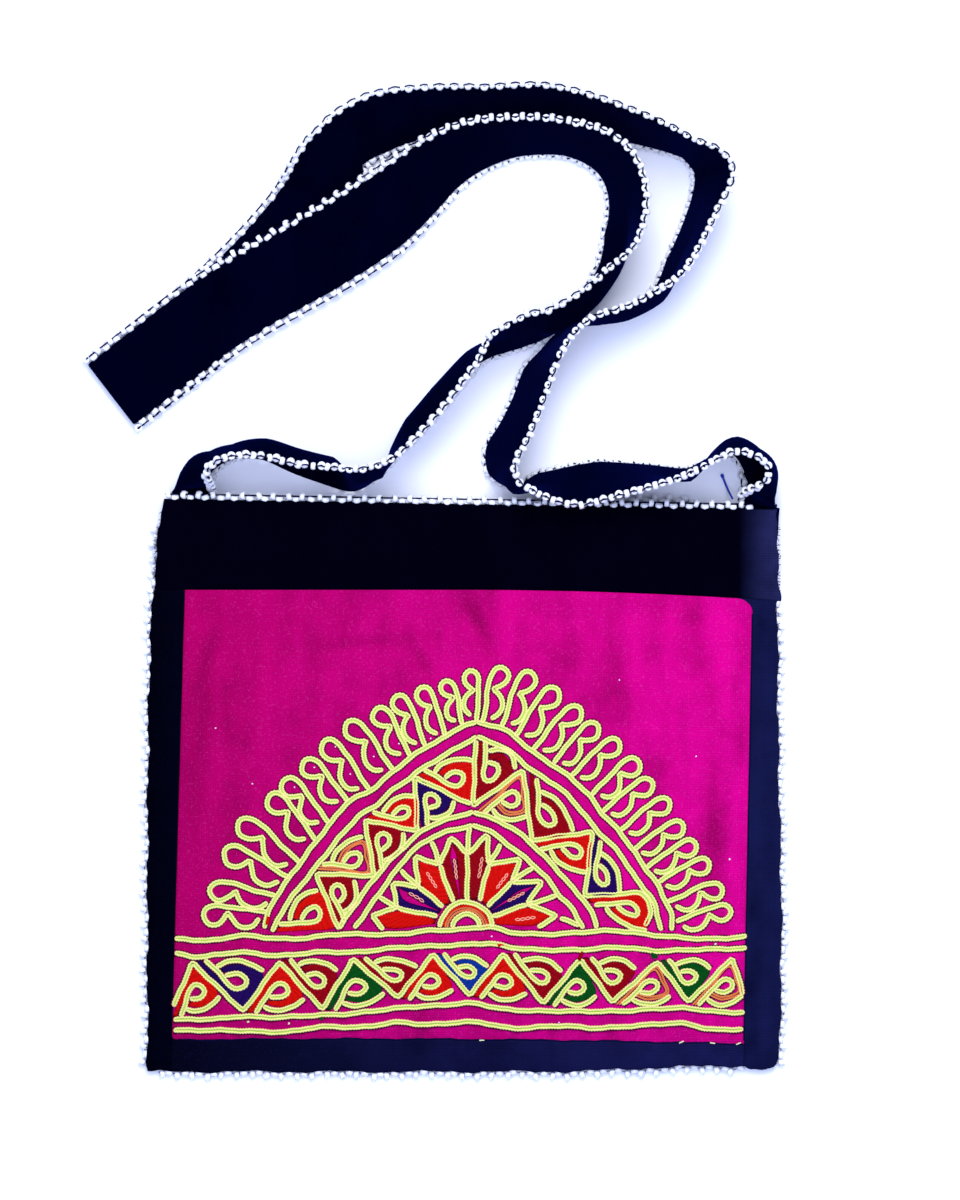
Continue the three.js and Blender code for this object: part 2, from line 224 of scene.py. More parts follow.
# How far it weaves up and down once in each pair of beads, and its steps in each pair
THREAD_WEAVE = 0.45
THREAD_STEPS = 8
THREAD_SIDES = 6

# Strap: one strip of cloth, laid from the left mouth corner to a flat fold and back to the right corner
STRAP_WIDTH = 32
STRAP_COLUMNS = 18
STEPS_PER_ROW = 6
FOLD_RADIUS = 1.7
FOLD_STEPS = 9
STRINGS_START_Y = 119
# In the left loop the lower string is tucked under the strap: x where that starts and ends, y that it stays
# below, how far the string is moved, and the length over which that comes and goes
TUCKED = (-98, -36)
TUCKED_BELOW = 150
TUCK = 4
TUCK_FADE = 15

# Each row is one section of the strap: x, y of the middle between its two edges; lean, the degrees that
# the section is tipped up from lying flat, left edge raised; bend, the degrees that it is curled across
# its width; radius of the curl; lift, the height of its lowest point. A row may leave out the last two
LEAN, BEND, CURL_RADIUS, LIFT = range(2, 6)
USUAL_CURL_RADIUS = 12
USUAL_LIFT = 0
UPPER_RUN = [
    (-105, 101, 90, -180, 1.6, 1.3),
    (-107, 124.5, 90, -180, 1.8, 1.2),
    (-107.4, 131, 84, -95, 9, 0),
    (-103, 135.6, 86, -42),
    (-96, 138.2, 88, -36),
    (-83.8, 138, 86, -70),
    (-70, 133.4, 80, -75),
    (-56, 130.2, 73, -68),
    (-45.6, 128.3, 75, 10),
    (-35.5, 132.5, 84, 24),
    (-27.5, 138.8, 90, -25),
    (-17.9, 148.9, 90, -70),
    (-6.5, 161.9, 90, -75),
    (6.5, 178, 88, -50),
    (14.6, 185.6, 74, -10),
    (22.6, 189.2, 71, 0),
    (30.2, 192.4, 69, 5),
    (37, 194.8, 74, 38),
    (44.2, 200.4, 81, 62),
    (52.3, 208.4, 90, 68),
    (59.9, 218.3, 99, 58),
    (66, 229, 115, 30),
    (69.3, 244, 117, 0),
    (66.5, 257.5, 119, 0),
    (59, 266, 118, 0),
    (44, 271.6, 114, 0),
    (22.5, 272.2, 118, 0),
    (3.4, 267.6, 129, 0),
    (-9.5, 260.5, 137, 0),
    (-22, 250, 150, 0, 12, 2),
    (-35, 239.2, 164, 0, 12, 3.4),
    (-56, 225.6, 177, 0, 12, 3.6),
    (-102, 199, 180, 0, 12, 3.4),
    (-146, 165.7, 180, 0, 12, 3.4),
]
UNDER_RUN = [
    (-146, 165.7, 0, 0),
    (-106, 196.5, 0, 0),
    (-77, 225, 0, 0),
    (-60.5, 246, 2, 0),
    (-51, 268, 45, 0),
    (-36, 277.6, 42, 0),
    (-14.5, 282.6, 52, 0),
    (10, 284.6, 60, 0),
    (34.7, 285.4, 60, 0),
    (59, 280.2, 63, 0),
    (94.5, 267.8, 76, 0),
    (105, 258.3, 60, 0),
    (101.9, 244.7, 70, 0),
    (89.7, 218.6, 75, -10),
    (80.9, 207.6, 88, -40),
    (67.8, 200.4, 90, -40),
    (55.5, 196.8, 90, -25),
    (47.5, 193, 84, 0),
    (41.5, 187.6, 80, 0),
    (36.2, 180.2, 76, 0),
    (31.4, 172.5, 69, 0),
    (26.8, 160.4, 69, 0),
    (21.4, 148.5, 67, 0),
    (16.6, 140.1, 66, 0),
    (16.6, 133, 70, 0),
    (22.8, 126.6, 86, 30),
    (32, 126.7, 105, 10),
    (41.5, 126.2, 115, 0),
    (49.4, 126.6, 120, 0),
    (58.6, 128.3, 118, 0),
    (77.9, 130, 106, 0),
    (94.7, 131.8, 94, 28),
    (107, 138, 92, -20),
    (114.5, 139.8, 86, -55),
    (120.3, 136.2, 76, -55),
    (123.6, 131.8, 66, -75, 11, 0),
    (122.9, 128.4, 69, -95, 9, 0),
    (121.2, 125.4, 77, -125, 7, 0),
    (119.4, 122.4, 86, -165, 3.2, 0.4),
    (118.2, 119.4, 90, -180, 1.7, 1),
    (117, 103.1, 90, -180, 1.6, 1),
]

# Filled stitching between the lines: height over the cloth; rows side by side; steps along it and across
# each row; power with which it falls off at its sides; depth between the rows and how far it is sunk in the
# cloth, as shares of its height; share of its length over which it slopes up at each end
FILL_HEIGHT = 0.55
FILL_ROWS = 3
FILL_STEPS = 44
ROW_STEPS = 4
FILL_POWER = 6
ROW_DEPTH = 0.28
FILL_SUNK = 0.4
FILL_SLOPE = 1 / 12
# Chain stitch: length of a link; half width and half height of a strand; how far its two strands lie from
# the middle where they meet and where they part; half width of the core between them, a dark ribbon that is
# painted shade in the gaps between the strands; height over the cloth
Stitch = namedtuple("Stitch", "link strand height meet part core lift")
FULL_STITCH = Stitch(1.2, 0.49, 0.4, 0.5, 0.79, 0.5, 0.2)
FINE_STITCH = Stitch(1.0, 0.19, 0.26, 0.15, 0.25, 0.12, 0.2)
OPEN_STITCH = Stitch(2.2, 0.2, 0.2, 0.12, 0.55, 0.1, FILL_HEIGHT)
LINK_STEPS = 3
STRAND_SIDES = 6
CORE_HEIGHT = 0.3
# Where the strands part, each rises by this share of its half height
PARTED_RISE = 0.3
# Waves of the stitching hand: length, and height as a share of how far the strands part
HAND_WAVES = [(15, 0.26), (6.1, 0.08)]
# At both ends of a line its strands run together over this length
END_ROUND = 1.2
# A dark rod painted as the shadow along each line of stitches: how far it reaches past the strands, its
# half height and its height over the cloth
SHADOW_MARGIN = 0.36
SHADOW_HEIGHT = 0.1
SHADOW_LIFT = 0.08
# Corners of the zigzag lines are rounded off from this far before them to as far after
ZIGZAG_ROUND = 1.6
FLOWER_ROUND = 2.2
CORNER_STEPS = 7
# The two lines of an orange curl lie this far inside its outer rail
ORANGE_INSETS = (0.95, 2.1)

# The four wavy lines across the panel, as x, y places
WAVY_LINES = [
    [(-121, -64.5), (-104, -65), (-94, -63), (-81.5, -64), (-71.5, -64.5), (-61, -63.5), (-52.5, -62.5),
     (-27.5, -62.5), (-15, -61), (-1, -60.5), (8, -59.5), (12.5, -59.5), (19.5, -61.5), (36, -62.5),
     (63.5, -61), (81.5, -63), (104.5, -64.5), (119.5, -63.5)],
    [(-121, -70.5), (-112, -72), (-102, -71), (-94, -70), (-77.5, -71.5), (-60.5, -70), (-44, -70),
     (-31.5, -68.5), (-15, -67.5), (-1, -67), (5, -66.5), (12.5, -66.5), (20.5, -68), (31.5, -69),
     (49.5, -69), (66, -68), (81.5, -69.5), (95.5, -69), (119.5, -68.5)],
    [(-121.5, -98.5), (-102, -98), (-93, -97), (-81.5, -97.5), (-60.5, -96.5), (-48, -96), (-31.5, -94),
     (-21, -93), (-11, -92.5), (5, -91.5), (15.5, -93.7), (27, -94.6), (41.5, -94.8), (58.5, -94.9),
     (69, -94.7), (78, -94), (91.5, -93.5), (100, -94.2), (109, -95.3), (118.6, -95.4)],
    [(-121.5, -103), (-95.5, -103), (-84.5, -103.5), (-73, -103.5), (-60.5, -101.5), (-41.5, -101.5),
     (-27.5, -99.5), (-15, -100.5), (-1, -99.5), (7, -99.5), (20.5, -102), (41.5, -101), (56, -102),
     (72.5, -101), (92.5, -100), (104.5, -102.5), (118, -102.5)],
]
# The two double arches: each line is two halves that meet in a point at the top
ARCHES = [
    [(-83.5, -60), (-82, -54.5), (-77.5, -45.5), (-68.5, -33), (-61.5, -23.5), (-55.5, -16), (-48, -7),
     (-38.5, -2), (-29, 6), (-22, 11.5), (-15.5, 16), (-7, 20.5), (0, 25), (6, 26.5)],
    [(6, 26.5), (16.5, 24), (22, 20.5), (29, 14.5), (38, 8.5), (45, 3.5), (53, -4), (58.5, -11.5),
     (66, -19.5), (71.5, -27), (77, -35), (81.5, -41), (85, -48), (87.5, -53.5), (88, -61)],
    [(-80, -61.5), (-74, -50), (-69, -43.5), (-59, -31), (-51, -21), (-43, -12.5), (-36.5, -8.5),
     (-30, -2.5), (-23, 2.5), (-17, 7), (-7, 13), (6, 20.5)],
    [(6, 20.5), (11.5, 18.5), (17.5, 15.5), (23, 12), (28, 7), (33, 4), (40.5, -1), (46, -6), (52.5, -14),
     (58.5, -21), (66, -28.5), (71, -36.5), (76, -43), (80, -48.5), (82, -55), (83.5, -61)],
    [(-52, -60), (-44, -48.5), (-36.5, -38.5), (-29, -30), (-22, -23.5), (-15.5, -18), (-7, -14.5),
     (-0.5, -12.5), (4.5, -11)],
    [(4.5, -11), (11.5, -13.5), (21, -18), (29, -24.5), (37.5, -33), (42, -38), (47, -44), (52, -49.5),
     (55.5, -56.5), (56.5, -60)],
    [(-45.5, -60), (-39, -51), (-30, -38.5), (-22, -28.5), (-14, -22.5), (-7, -19.5), (-0.5, -18),
     (4, -16.5)],
    [(4, -16.5), (11, -19), (18, -24), (27.5, -31.5), (34.5, -38), (41, -46.5), (45, -50.5), (48.5, -56),
     (51, -60)],
]
# Zigzag lines, in the lower band and in both sides of the arch, that the curls hang from
ZIGZAGS = [
    [(-121.5, -93), (-113.5, -74.5), (-92, -95), (-77, -74), (-59, -94), (-46, -73), (-27, -89),
     (-12.5, -71), (3, -88), (17, -71), (34, -91.5), (49.5, -73), (63, -91), (82, -74), (95, -91),
     (113.5, -72.5), (118, -88)],
    [(-52, -60.5), (-61.5, -37), (-37, -38), (-41, -14.5), (-19, -19), (-20, 3.5), (3.5, -8)],
    [(5.5, 19), (4.5, -8.5), (25.5, 6.5), (29, -23), (54.5, -19.5), (51.5, -46.5), (75, -45), (78.5, -48.5),
     (79, -54), (76.5, -59)],
]
# Looped petals round the outer arch: x, y of the foot on the arch, x, y of the tip
LEFT_PETALS = [
    (-82, -53, -109, -54.5),
    (-78.5, -46.5, -106, -43.5),
    (-72.5, -39, -100, -27.5),
    (-68.5, -32.5, -93.5, -15),
    (-61.5, -23, -81, -4),
    (-56, -16, -75, 2.5),
    (-48, -7, -66.5, 10.5),
    (-39, -2, -58, 18.5),
    (-29, 6, -48, 26.5),
    (-22, 12, -36, 32.5),
    (-15.5, 16.5, -27.5, 37.5),
    (-7, 20.5, -17.5, 41),
    (0, 25.5, -7, 44),
    (6, 27, 3.5, 48),
]
RIGHT_PETALS = [
    (8.5, 26, 16.5, 49.5),
    (16.5, 24.5, 28.5, 47.5),
    (22, 20.5, 39.5, 40.5),
    (29.5, 15, 49, 32.5),
    (38, 9.5, 56.5, 25.5),
    (45.5, 4, 65.5, 18.5),
    (54, -4, 74, 10.5),
    (58.5, -11, 79.5, 1.5),
    (66, -19, 86.5, -6.5),
    (71.5, -27, 92.5, -16.5),
    (77, -34.5, 98, -24.5),
    (82, -40.5, 103.5, -32.5),
    (86, -49, 109, -43),
    (89.5, -57, 112.5, -52.5),
]
# One petal's line: share of the way from foot to tip, and the same length to the side of the loops
PETAL_LINE = [
    (0, 0), (0.31, -0.05), (0.6, -0.11), (0.84, -0.13), (0.95, -0.09), (1, 0), (0.97, 0.09), (0.89, 0.155),
    (0.79, 0.15), (0.69, 0.08), (0.61, 0), (0.57, 0.06), (0.48, 0.175), (0.35, 0.225), (0.23, 0.205),
    (0.12, 0.1),
]
# Filled curls: thread colour, then x, y of the foot, of the apex and of the far corner
CURLS = [
    ("red", -123, -97, -113.5, -74.5, -102.5, -88.5),
    ("purple", -113.5, -74.5, -92, -95, -84, -78),
    ("red", -92, -95, -77, -74, -67, -89.5),
    ("maroon", -77, -74, -59, -94, -53, -78),
    ("green", -59, -94, -46, -73, -33.5, -87),
    ("maroon", -46, -73, -27, -89, -19.5, -76.5),
    ("red", -27, -89, -12.5, -71, -4.5, -85.5),
    ("blue", -12.5, -71, 3, -88, 10.5, -76),
    ("red", 3, -88, 17, -71, 26.5, -87),
    ("maroon", 17, -71, 34, -91.5, 41.5, -78),
    ("green", 34, -91.5, 49.5, -73, 56, -88.5),
    ("maroon", 49.5, -73, 63, -91, 72.5, -77),
    ("orange", 63, -91, 82, -74, 87, -88.5),
    ("green", 82, -74, 95, -91, 104, -77),
    ("orange", 95, -91, 113.5, -72.5, 117.5, -88.5),
    ("red", -79, -63, -52, -60.5, -61, -44),
    ("maroon", -52, -60.5, -61.5, -37, -45.5, -40),
    ("orange", -61.5, -37, -37, -38, -42, -22),
    ("maroon", -37, -38, -41, -14.5, -25, -20),
    ("red", -41, -14.5, -19, -19, -20, -4.5),
    ("purple", -18.5, -17.5, -20, 3.5, -4, -6.5),
    ("red", -20, 3.5, 3.5, -8, 4, 10),
    ("maroon", 5.5, 19, 4.5, -8.5, 22, 7),
    ("orange", 5.5, -9, 25.5, 6.5, 26.5, -12.5),
    ("maroon", 26.5, 6.5, 29, -23, 46, -19),
    ("red", 29, -23, 54.5, -19.5, 52, -36),
    ("purple", 54.5, -19.5, 51.5, -46.5, 66, -44.5),
    ("red", 51.5, -46.5, 77, -45, 77, -60.5),
]
# Lines of one curl, as shares of the way from its foot to its apex and to its corner
CURL_BOWL = [
    (-0.11, 0.26), (0.06, 0.26), (0.25, 0.24), (0.42, 0.225), (0.48, 0.29), (0.4, 0.46), (0.24, 0.6),
    (0.15, 0.58), (0.14, 0.53), (0.21, 0.31),
]
CURL_TAIL = [(0.0, 1.02), (-0.14, 0.93), (-0.17, 0.77), (-0.11, 0.56), (0.02, 0.32)]
CURL_OUTER_RAIL = [
    (-0.06, 0.08), (0.45, 0.05), (0.9, 0.07), (0.49, 0.55), (0.07, 0.96), (-0.05, 0.88), (-0.09, 0.68),
    (0.06, 0.34),
]
CURL_INNER_RAIL = [
    (-0.1, 0.2), (0.33, 0.18), (0.52, 0.22), (0.42, 0.47), (0.22, 0.63), (0.09, 0.64), (0.07, 0.56),
    (0.16, 0.31),
]
# The half flower under the inner arch: its middle, the degrees from the left foot to the right one of its
# arcs, and their radii
FLOWER_MIDDLE = (1.5, -60)
ARC_SPAN = (178, 2)
ARC_STEPS = 40
FLOWER_RIM = 11
FLOWER_RED = (8.7, 10)
FLOWER_ORANGE = (7.7, 8.75)
FLOWER_EYE = 5.9
# Its leaves stand between the valleys; a seam joins each valley to the rim and a ray joins it to the arch
FLOWER_TIPS = [
    (-38.5, -54.5), (-29.5, -41), (-20, -29.5), (-5, -21.5), (10.5, -20.5), (24.5, -30.5), (33.5, -40.5),
    (40, -54.5),
]
FLOWER_VALLEYS = [
    (-33, -60.5), (-27.5, -51.5), (-18.5, -42.5), (-9.5, -33.5), (2, -29), (11, -33.5), (20.5, -40.5),
    (27, -50), (31.5, -59.5),
]
FLOWER_SEAMS = [
    (-12, -59.5), (-10.5, -55), (-8, -51), (-4, -49), (2, -48.5), (7, -48.5), (10.5, -51), (12.5, -55),
    (13, -59.5),
]
FLOWER_RAYS = [
    (-35, -47), (-26, -35.5), (-13, -23.5), (3, -17.5), (16, -24.5), (29.5, -34.5), (39.5, -46.5),
]
LAST_RAY = [(41, -55.5), (49, -59)]
# Each leaf's thread, and the share of its width that is left open along its middle
FLOWER_LEAVES = [
    ("red", 0), ("purple", 0.36), ("red", 0), ("maroon", 0.3), ("maroon", 0), ("red", 0), ("purple", 0.2),
    ("red", 0),
]
# A leaf is filled this far in from its lines, this far short of its tip, and over this share of its foot
LEAF_INSET = 1.2
LEAF_TIP_INSET = 3
LEAF_FOOT = 0.45
# A line of short stitches lies along the middle of each leaf but the first, between these shares of it
LEAF_STITCHES = (0.34, 0.66)

# Loose things on the cloth: x, y and direction in degrees of the white lint, of the specks of pale thread
# and of the pale thread ends at the bottom seam, with each kind's length, radius and height over the cloth
LINT = [
    (-88.5, 0.5, 40), (-70.5, -1, 100), (-62.5, 7.5, 20), (-53.5, 16, 70), (-37, 12, 150), (-27, 17.5, 10),
    (-13.5, 19.5, 60), (-47, 4.5, 120), (12, -63.5, 30), (40.5, -100, 80), (112.5, -31, 160),
    (112.2, -31.4, 70), (-104, 24, 15), (66, 44, 110), (98, 12, 50),
]
LINT_SIZE = (0.6, 0.24, 0.2)
PALE_SPECKS = [(-90.5, -99.5, 20), (-73, -100.5, 80), (106, -67, 50), (55.5, -103, 30)]
SPECK_SIZE = (0.9, 0.42, 0.2)
THREAD_ENDS = [(7, -107.2, 4), (91, -108.4, 24), (104, -108.2, -8), (115, -109, 22)]
THREAD_END_SIZE = (2.2, 0.3, 0.7)
BIT_STEPS = 4
BIT_SIDES = 5
# Stray stitches beside the curls: thread, x, y, direction in degrees, length
STRAY_STITCHES = [
    ("green", 79.2, -70.6, -25, 2.8), ("green", 79.4, -72.2, 10, 2.6), ("red", 15, -67.5, 25, 3),
    ("red", -82, -58.5, 80, 3.5), ("maroon", 49, -73.5, 70, 4), ("green", -60, -98, 10, 1.6),
]
STRAY_RADIUS = 0.8
# A loose blue thread by the right corner of the mouth: x, y, z; its radius, and that of the knot over its
# first few points
LOOSE_THREAD = [(109, 130.8, 0.6), (110.5, 127, 0.5), (112, 123.5, 2.5), (113.5, 120.5, 7)]
LOOSE_RADIUS = 0.42
KNOT_RADIUS = 0.65
KNOT_POINTS = 4
# Frayed ends along the sides of the mouth: way out, lowest and highest y, how many
FRAYED_EDGES = [(1, 78, 115, 46), (-1, 88, 117, 22)]
# Each starts this far inside the edge and reaches up to its length past it; spread of its end along the
# edge and upwards
FRAY_ROOT = 0.4
FRAY_LENGTH = 1.5
FRAY_SPREAD = (0.7, 0.2)
FRAY_RADIUS = 0.13

# The weave is really about 0.5 mm between threads, and is drawn coarser so that it shows, and so is the nap
WEAVE_DRAWN = 1.0
NAP_SIZE = 0.9
# Cloudy dye, and the upright creases across the cloth painted in as shade: their size in mm and their
# stretch
CLOUD_SIZE = 16
CREASE_WIDTH = 13
CREASE_STRETCH = 0.2
# How much the weave dulls the dye, and the painted shade of a wrinkle for each mm of its depth
WEAVE_DULLING = 0.06
WRINKLE_PAINTED_SHADE = 0.16
# Lowest and highest value of the mottle with its painted shade, and of the nap, and the shares of colour
# that these two give
MOTTLE_AND_SHADE_RANGE = (0.2, 0.6, 0, 0.8)
NAP_RANGE = (0.56, 0.85, 0, 0.2)
# Relief of the weave and of the ply of a thread, in mm
WEAVE_RELIEF = 0.2
PLY_RELIEF = 0.25
# Pitch of the ply in sewing thread, in embroidery and in the filled rows, and size of the uneven fibres
SEWING_PLY = 0.8
EMBROIDERY_PLY = 0.9
FILL_PLY = 1.4
FIBRE_SIZE = 1.1
# Light spreads this far inside the milky glass of a bead; beads are between these two roughnesses
GLASS_DEPTH = 2.5
BEAD_ROUGHNESS = (0.12, 0.3)
# Size of the faint cloud in the backdrop paper
PAPER_CLOUD = 220
# Cloths: name, colour at the left and at the right, which is the dye with painted light falling from the
# right, so darker to the left; mottled colour with painted crease shade, and worn colour; where the painted
# light starts, sheen, and any wrinkles
CLOTHS = [
    ("magenta_plain_woven_cotton", "#9E014B", "#CC0378", "#78013A", "#D8409A", -HALF_WIDTH, 0, WRINKLES),
    ("navy_side_strip_cotton", "#010106", "#13163A", "#01020E", "#0E1030", -HALF_WIDTH, 0),
    ("navy_bottom_strip_cotton", "#030309", "#1A1B46", "#030414", "#1C1E48", -HALF_WIDTH, 0),
    ("deep_navy_plain_woven_cotton", "#01010B", "#24264C", "#000005", "#06071A", 116, 0),
    ("deep_navy_strap_cotton", "#000112", "#000216", "#000006", "#03041E", -HALF_WIDTH, 0.16),
]
# Threads of the filled curls and leaves: colour of the strands, and their painted shade where they dip
# under the next
FILL_THREADS = {
    "red": ("#BE0A04", "#A00503"),
    "maroon": ("#82020C", "#6A0109"),
    "green": ("#04420E", "#033409"),
    "purple": ("#1C0542", "#140334"),
    "blue": ("#0A2A74", "#071F5C"),
}

# Camera and floor: the view is 403 by 504 mm, seen from straight above through a very long lens
VIEW_MIDDLE = (7.35, 77.9, 15)
VIEW_HEIGHT = 504
LENS = 600
SENSOR = 36
FLOOR_SIZE = 6000
FLOOR_DROP = 0.2
# Soft lights: name, place in metres, side of the square lamp in metres, watts, colour
LAMPS = [
    ("key_from_the_top", (0.15, 1.0, 1.3), 0.8, 16, "#FFFFFF"),
    ("broad_light_from_above", (0.0, 0.1, 1.5), 2.2, 42, "#D6E0FF"),
]

# A form: its points, its faces as arrays of point numbers, and each point's place on its own sheet
Form = namedtuple("Form", "points faces uv")


# Shared mesh work

def unit(vectors):
    """Vectors of length one."""
    return vectors / np.maximum(np.linalg.norm(vectors, axis=-1, keepdims=True), NO_LENGTH)


def quads(index):
    """The four-cornered faces of a grid of point numbers, facing columns x rows."""
    corners = (index[:-1, :-1], index[:-1, 1:], index[1:, 1:], index[1:, :-1])
    return np.stack(corners, axis=-1).reshape(-1, 4)


def wrapped(index):
    """A grid of point numbers with its first column repeated at the end, so that it closes on itself."""
    return np.hstack([index, index[:, :1]])


def closed_sheet(upper, lower, uv):
    """A closed sheet from its two faces, which are grids of points that coincide along the rim."""
    rows, columns = upper.shape[:2]
    above = np.arange(rows * columns).reshape(rows, columns)
    below = above + above.size
    rim = np.ones_like(above, bool)
    rim[1:-1, 1:-1] = False
    below[rim] = above[rim]
    points = np.concatenate([upper, lower]).reshape(-1, 3)
    return Form(points, [quads(above), quads(below)[:, ::-1]], np.concatenate([uv, uv]).reshape(-1, 2))


def rod(path, aside, up, width, height, sides):
    """A closed rod: an ellipse of that half width and half height, across aside and up, along a path."""
    turn = np.arange(sides) * 2 * np.pi / sides
    across = width * np.cos(turn)[None, :, None] * aside[:, None]
    over = height * np.sin(turn)[None, :, None] * up[:, None]
    points = path[:, None] + across + over
    index = np.arange(len(path) * sides).reshape(-1, sides)
    faces = [quads(wrapped(index)), np.stack([index[0, ::-1], index[-1]])]
    return Form(points.reshape(-1, 3), faces, np.zeros((index.size, 2)))


def joined(forms):
    """One form from several: the later ones' point numbers move up past the earlier ones' points."""
    starts = np.cumsum([0] + [len(form.points) for form in forms[:-1]])
    faces = [face + start for form, start in zip(forms, starts) for face in form.faces]
    return Form(np.vstack([f.points for f in forms]), faces, np.vstack([f.uv for f in forms]))


def make_piece(name, form, material, slot, *nodes):
    """A smooth mesh piece at the origin that rides on the purse and stands for the named solids."""
    used, corners = np.unique(np.concatenate([f.ravel() for f in form.faces]), return_inverse=True)
    sizes = np.concatenate([np.full(len(f), f.shape[1]) for f in form.faces])
    mesh = bpy.data.meshes.new(name)
    mesh.vertices.add(len(used))
    mesh.vertices.foreach_set("co", (form.points[used] * MM).ravel())
    mesh.loops.add(len(corners))
    mesh.loops.foreach_set("vertex_index", corners.astype(np.int32))
    mesh.polygons.add(len(sizes))
    mesh.polygons.foreach_set("loop_start", (np.cumsum(sizes) - sizes).astype(np.int32))
    mesh.polygons.foreach_set("use_smooth", np.ones(len(sizes), bool))
    mesh.update(calc_edges=True)
    mesh.uv_layers.new(name="millimetres").data.foreach_set("uv", form.uv[used][corners].ravel())
    mesh.materials.append(material)
    piece = bpy.data.objects.new(name, mesh)
    bpy.context.scene.collection.objects.link(piece)
    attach(piece, BODY)
    if nodes:
        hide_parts(*nodes)
    return piece


def curve_through(points, place):
    """A smooth curve through points, read at row numbers: a cubic on each span, timed by the square root
    of the distance between its points."""
    points = np.asarray(points, float)
    ends = np.vstack([2 * points[0] - points[1], points, 2 * points[-1] - points[-2]])
    row = np.minimum(place.astype(int), len(points) - 2)
    p0, p1, p2, p3 = (ends[row + k] for k in range(4))
    t = (place - row)[:, None]
    spans = ((p0, p1), (p1, p2), (p2, p3))
    t0, t1, t2 = (np.sqrt(np.linalg.norm(end - start, axis=1))[:, None] for start, end in spans)
    leave = t1 * ((p1 - p0) / t0 - (p2 - p0) / (t0 + t1) + (p2 - p1) / t1)
    arrive = t1 * ((p2 - p1) / t1 - (p3 - p1) / (t1 + t2) + (p3 - p2) / t2)
    cubic = 2 * (p1 - p2) + leave + arrive
    square = 3 * (p2 - p1) - 2 * leave - arrive
    return p1 + leave * t + square * t**2 + cubic * t**3


def smooth_path(points, steps=8):
    """A dense row of points on the smooth curve through a few."""
    return curve_through(points, np.linspace(0, len(points) - 1, (len(points) - 1) * steps + 1))


def run_lengths(path):
    """How far each point of a path lies along it."""
    return np.concatenate([[0], np.cumsum(np.linalg.norm(np.diff(path, axis=0), axis=1))])


def read_at(values, lengths, spots):
    """Values known along a path, read at other distances along it."""
    return np.stack([np.interp(spots, lengths, values[:, k]) for k in range(values.shape[1])], axis=1)


def smoothstep(x, low, high):
    """A soft step from 0 at low to 1 at high."""
    t = np.clip((x - low) / (high - low), 0, 1)
    return t * t * (3 - 2 * t)


# Form of the pouch

def wander(waves, place, start):
    """How far a hem or a row of stitches stands off its line: a sum of sine waves along it."""
    return sum(height * np.sin(2 * np.pi * place / length + start * length) for length, height in waves)


def fillet(distance, radius):
    """How far a round corner fills in, at a distance from it: what a quarter circle leaves of a square."""
    return radius - np.sqrt(radius**2 - (radius - np.clip(distance, 0, radius)) ** 2)


def left_edge(y):
    """The left edge leans in towards the mouth, by the sixth power of the height."""
    lean = LEFT_TAPER * np.maximum(0, (y + HALF_HEIGHT) / (2 * HALF_HEIGHT)) ** LEFT_TAPER_POWER
    return -HALF_WIDTH + lean + wander(HEM_WAVES, y, 1)


def right_edge(y):
    """The right edge bulges below its middle, as a bell curve."""
    bulge = RIGHT_BULGE * np.exp(-(((y - BULGE_Y) / BULGE_HALF) ** 2))
    return HALF_WIDTH + bulge + wander(HEM_WAVES, y, 2)


def bottom_edge(x):
    """The bottom edge is drawn up towards the right, drops again at the right border and ends in a round
    corner."""
    rise = smoothstep(x, *RISE_SPAN) - LOST_RISE * smoothstep(x, *LOST_SPAN)
    corner = fillet(HALF_WIDTH - x, FOOT_CORNER)
    return -HALF_HEIGHT + BOTTOM_RISE * rise + wander(HEM_WAVES, x, 3) + corner


def along_mouth(x):
    """Share of the way from the mouth's left corner to its right one."""
    return (x - MOUTH_LEFT) / (MOUTH_RIGHT - MOUTH_LEFT)


def front_mouth(x):
    """The front's mouth edge drops evenly to the right."""
    return HALF_HEIGHT - FRONT_MOUTH_DROP * along_mouth(x)


def back_mouth(x):
    """The back's mouth edge hides behind the front's at the left, and in a soft step comes to show above it
    at the right."""
    return front_mouth(x) - BACK_MOUTH_DROP + BACK_MOUTH_RISE * smoothstep(x, *BACK_MOUTH_SPAN)


def panel_side(y, side):
    """One side of the magenta panel: straight, between its bottom and top places."""
    return side[0] + (side[1] - side[0]) * (y - PANEL_BOTTOM) / (PANEL_TOP - PANEL_BOTTOM)


def panel_top_edge(x):
    """The panel's top seam falls away to the right with the square of the distance."""
    return PANEL_TOP - PANEL_TOP_DROP * np.maximum(0, x / PANEL_RIGHT[1]) ** 2


def panel_bottom_edge(x):
    """The panel's bottom seam tilts and sags a little, and wanders as it was sewn by hand."""
    sag = PANEL_BOTTOM_SAG * (x / HALF_WIDTH) ** 2
    return PANEL_BOTTOM - sag - PANEL_BOTTOM_TILT * x / HALF_WIDTH + wander(HEM_WAVES, x, 4) / 2


def trough_depth(troughs, x, y):
    """Depth of all the soft troughs at a place: each fades along and across its line as a bell curve."""
    depth = 0
    for middle_x, middle_y, direction, length, width, deep in troughs:
        angle = math.radians(direction)
        along = (x - middle_x) * math.cos(angle) + (y - middle_y) * math.sin(angle)
        across = (y - middle_y) * math.cos(angle) - (x - middle_x) * math.sin(angle)
        depth = depth + deep * np.exp(-((along / length) ** 2) - (across / width) ** 2)
    return depth


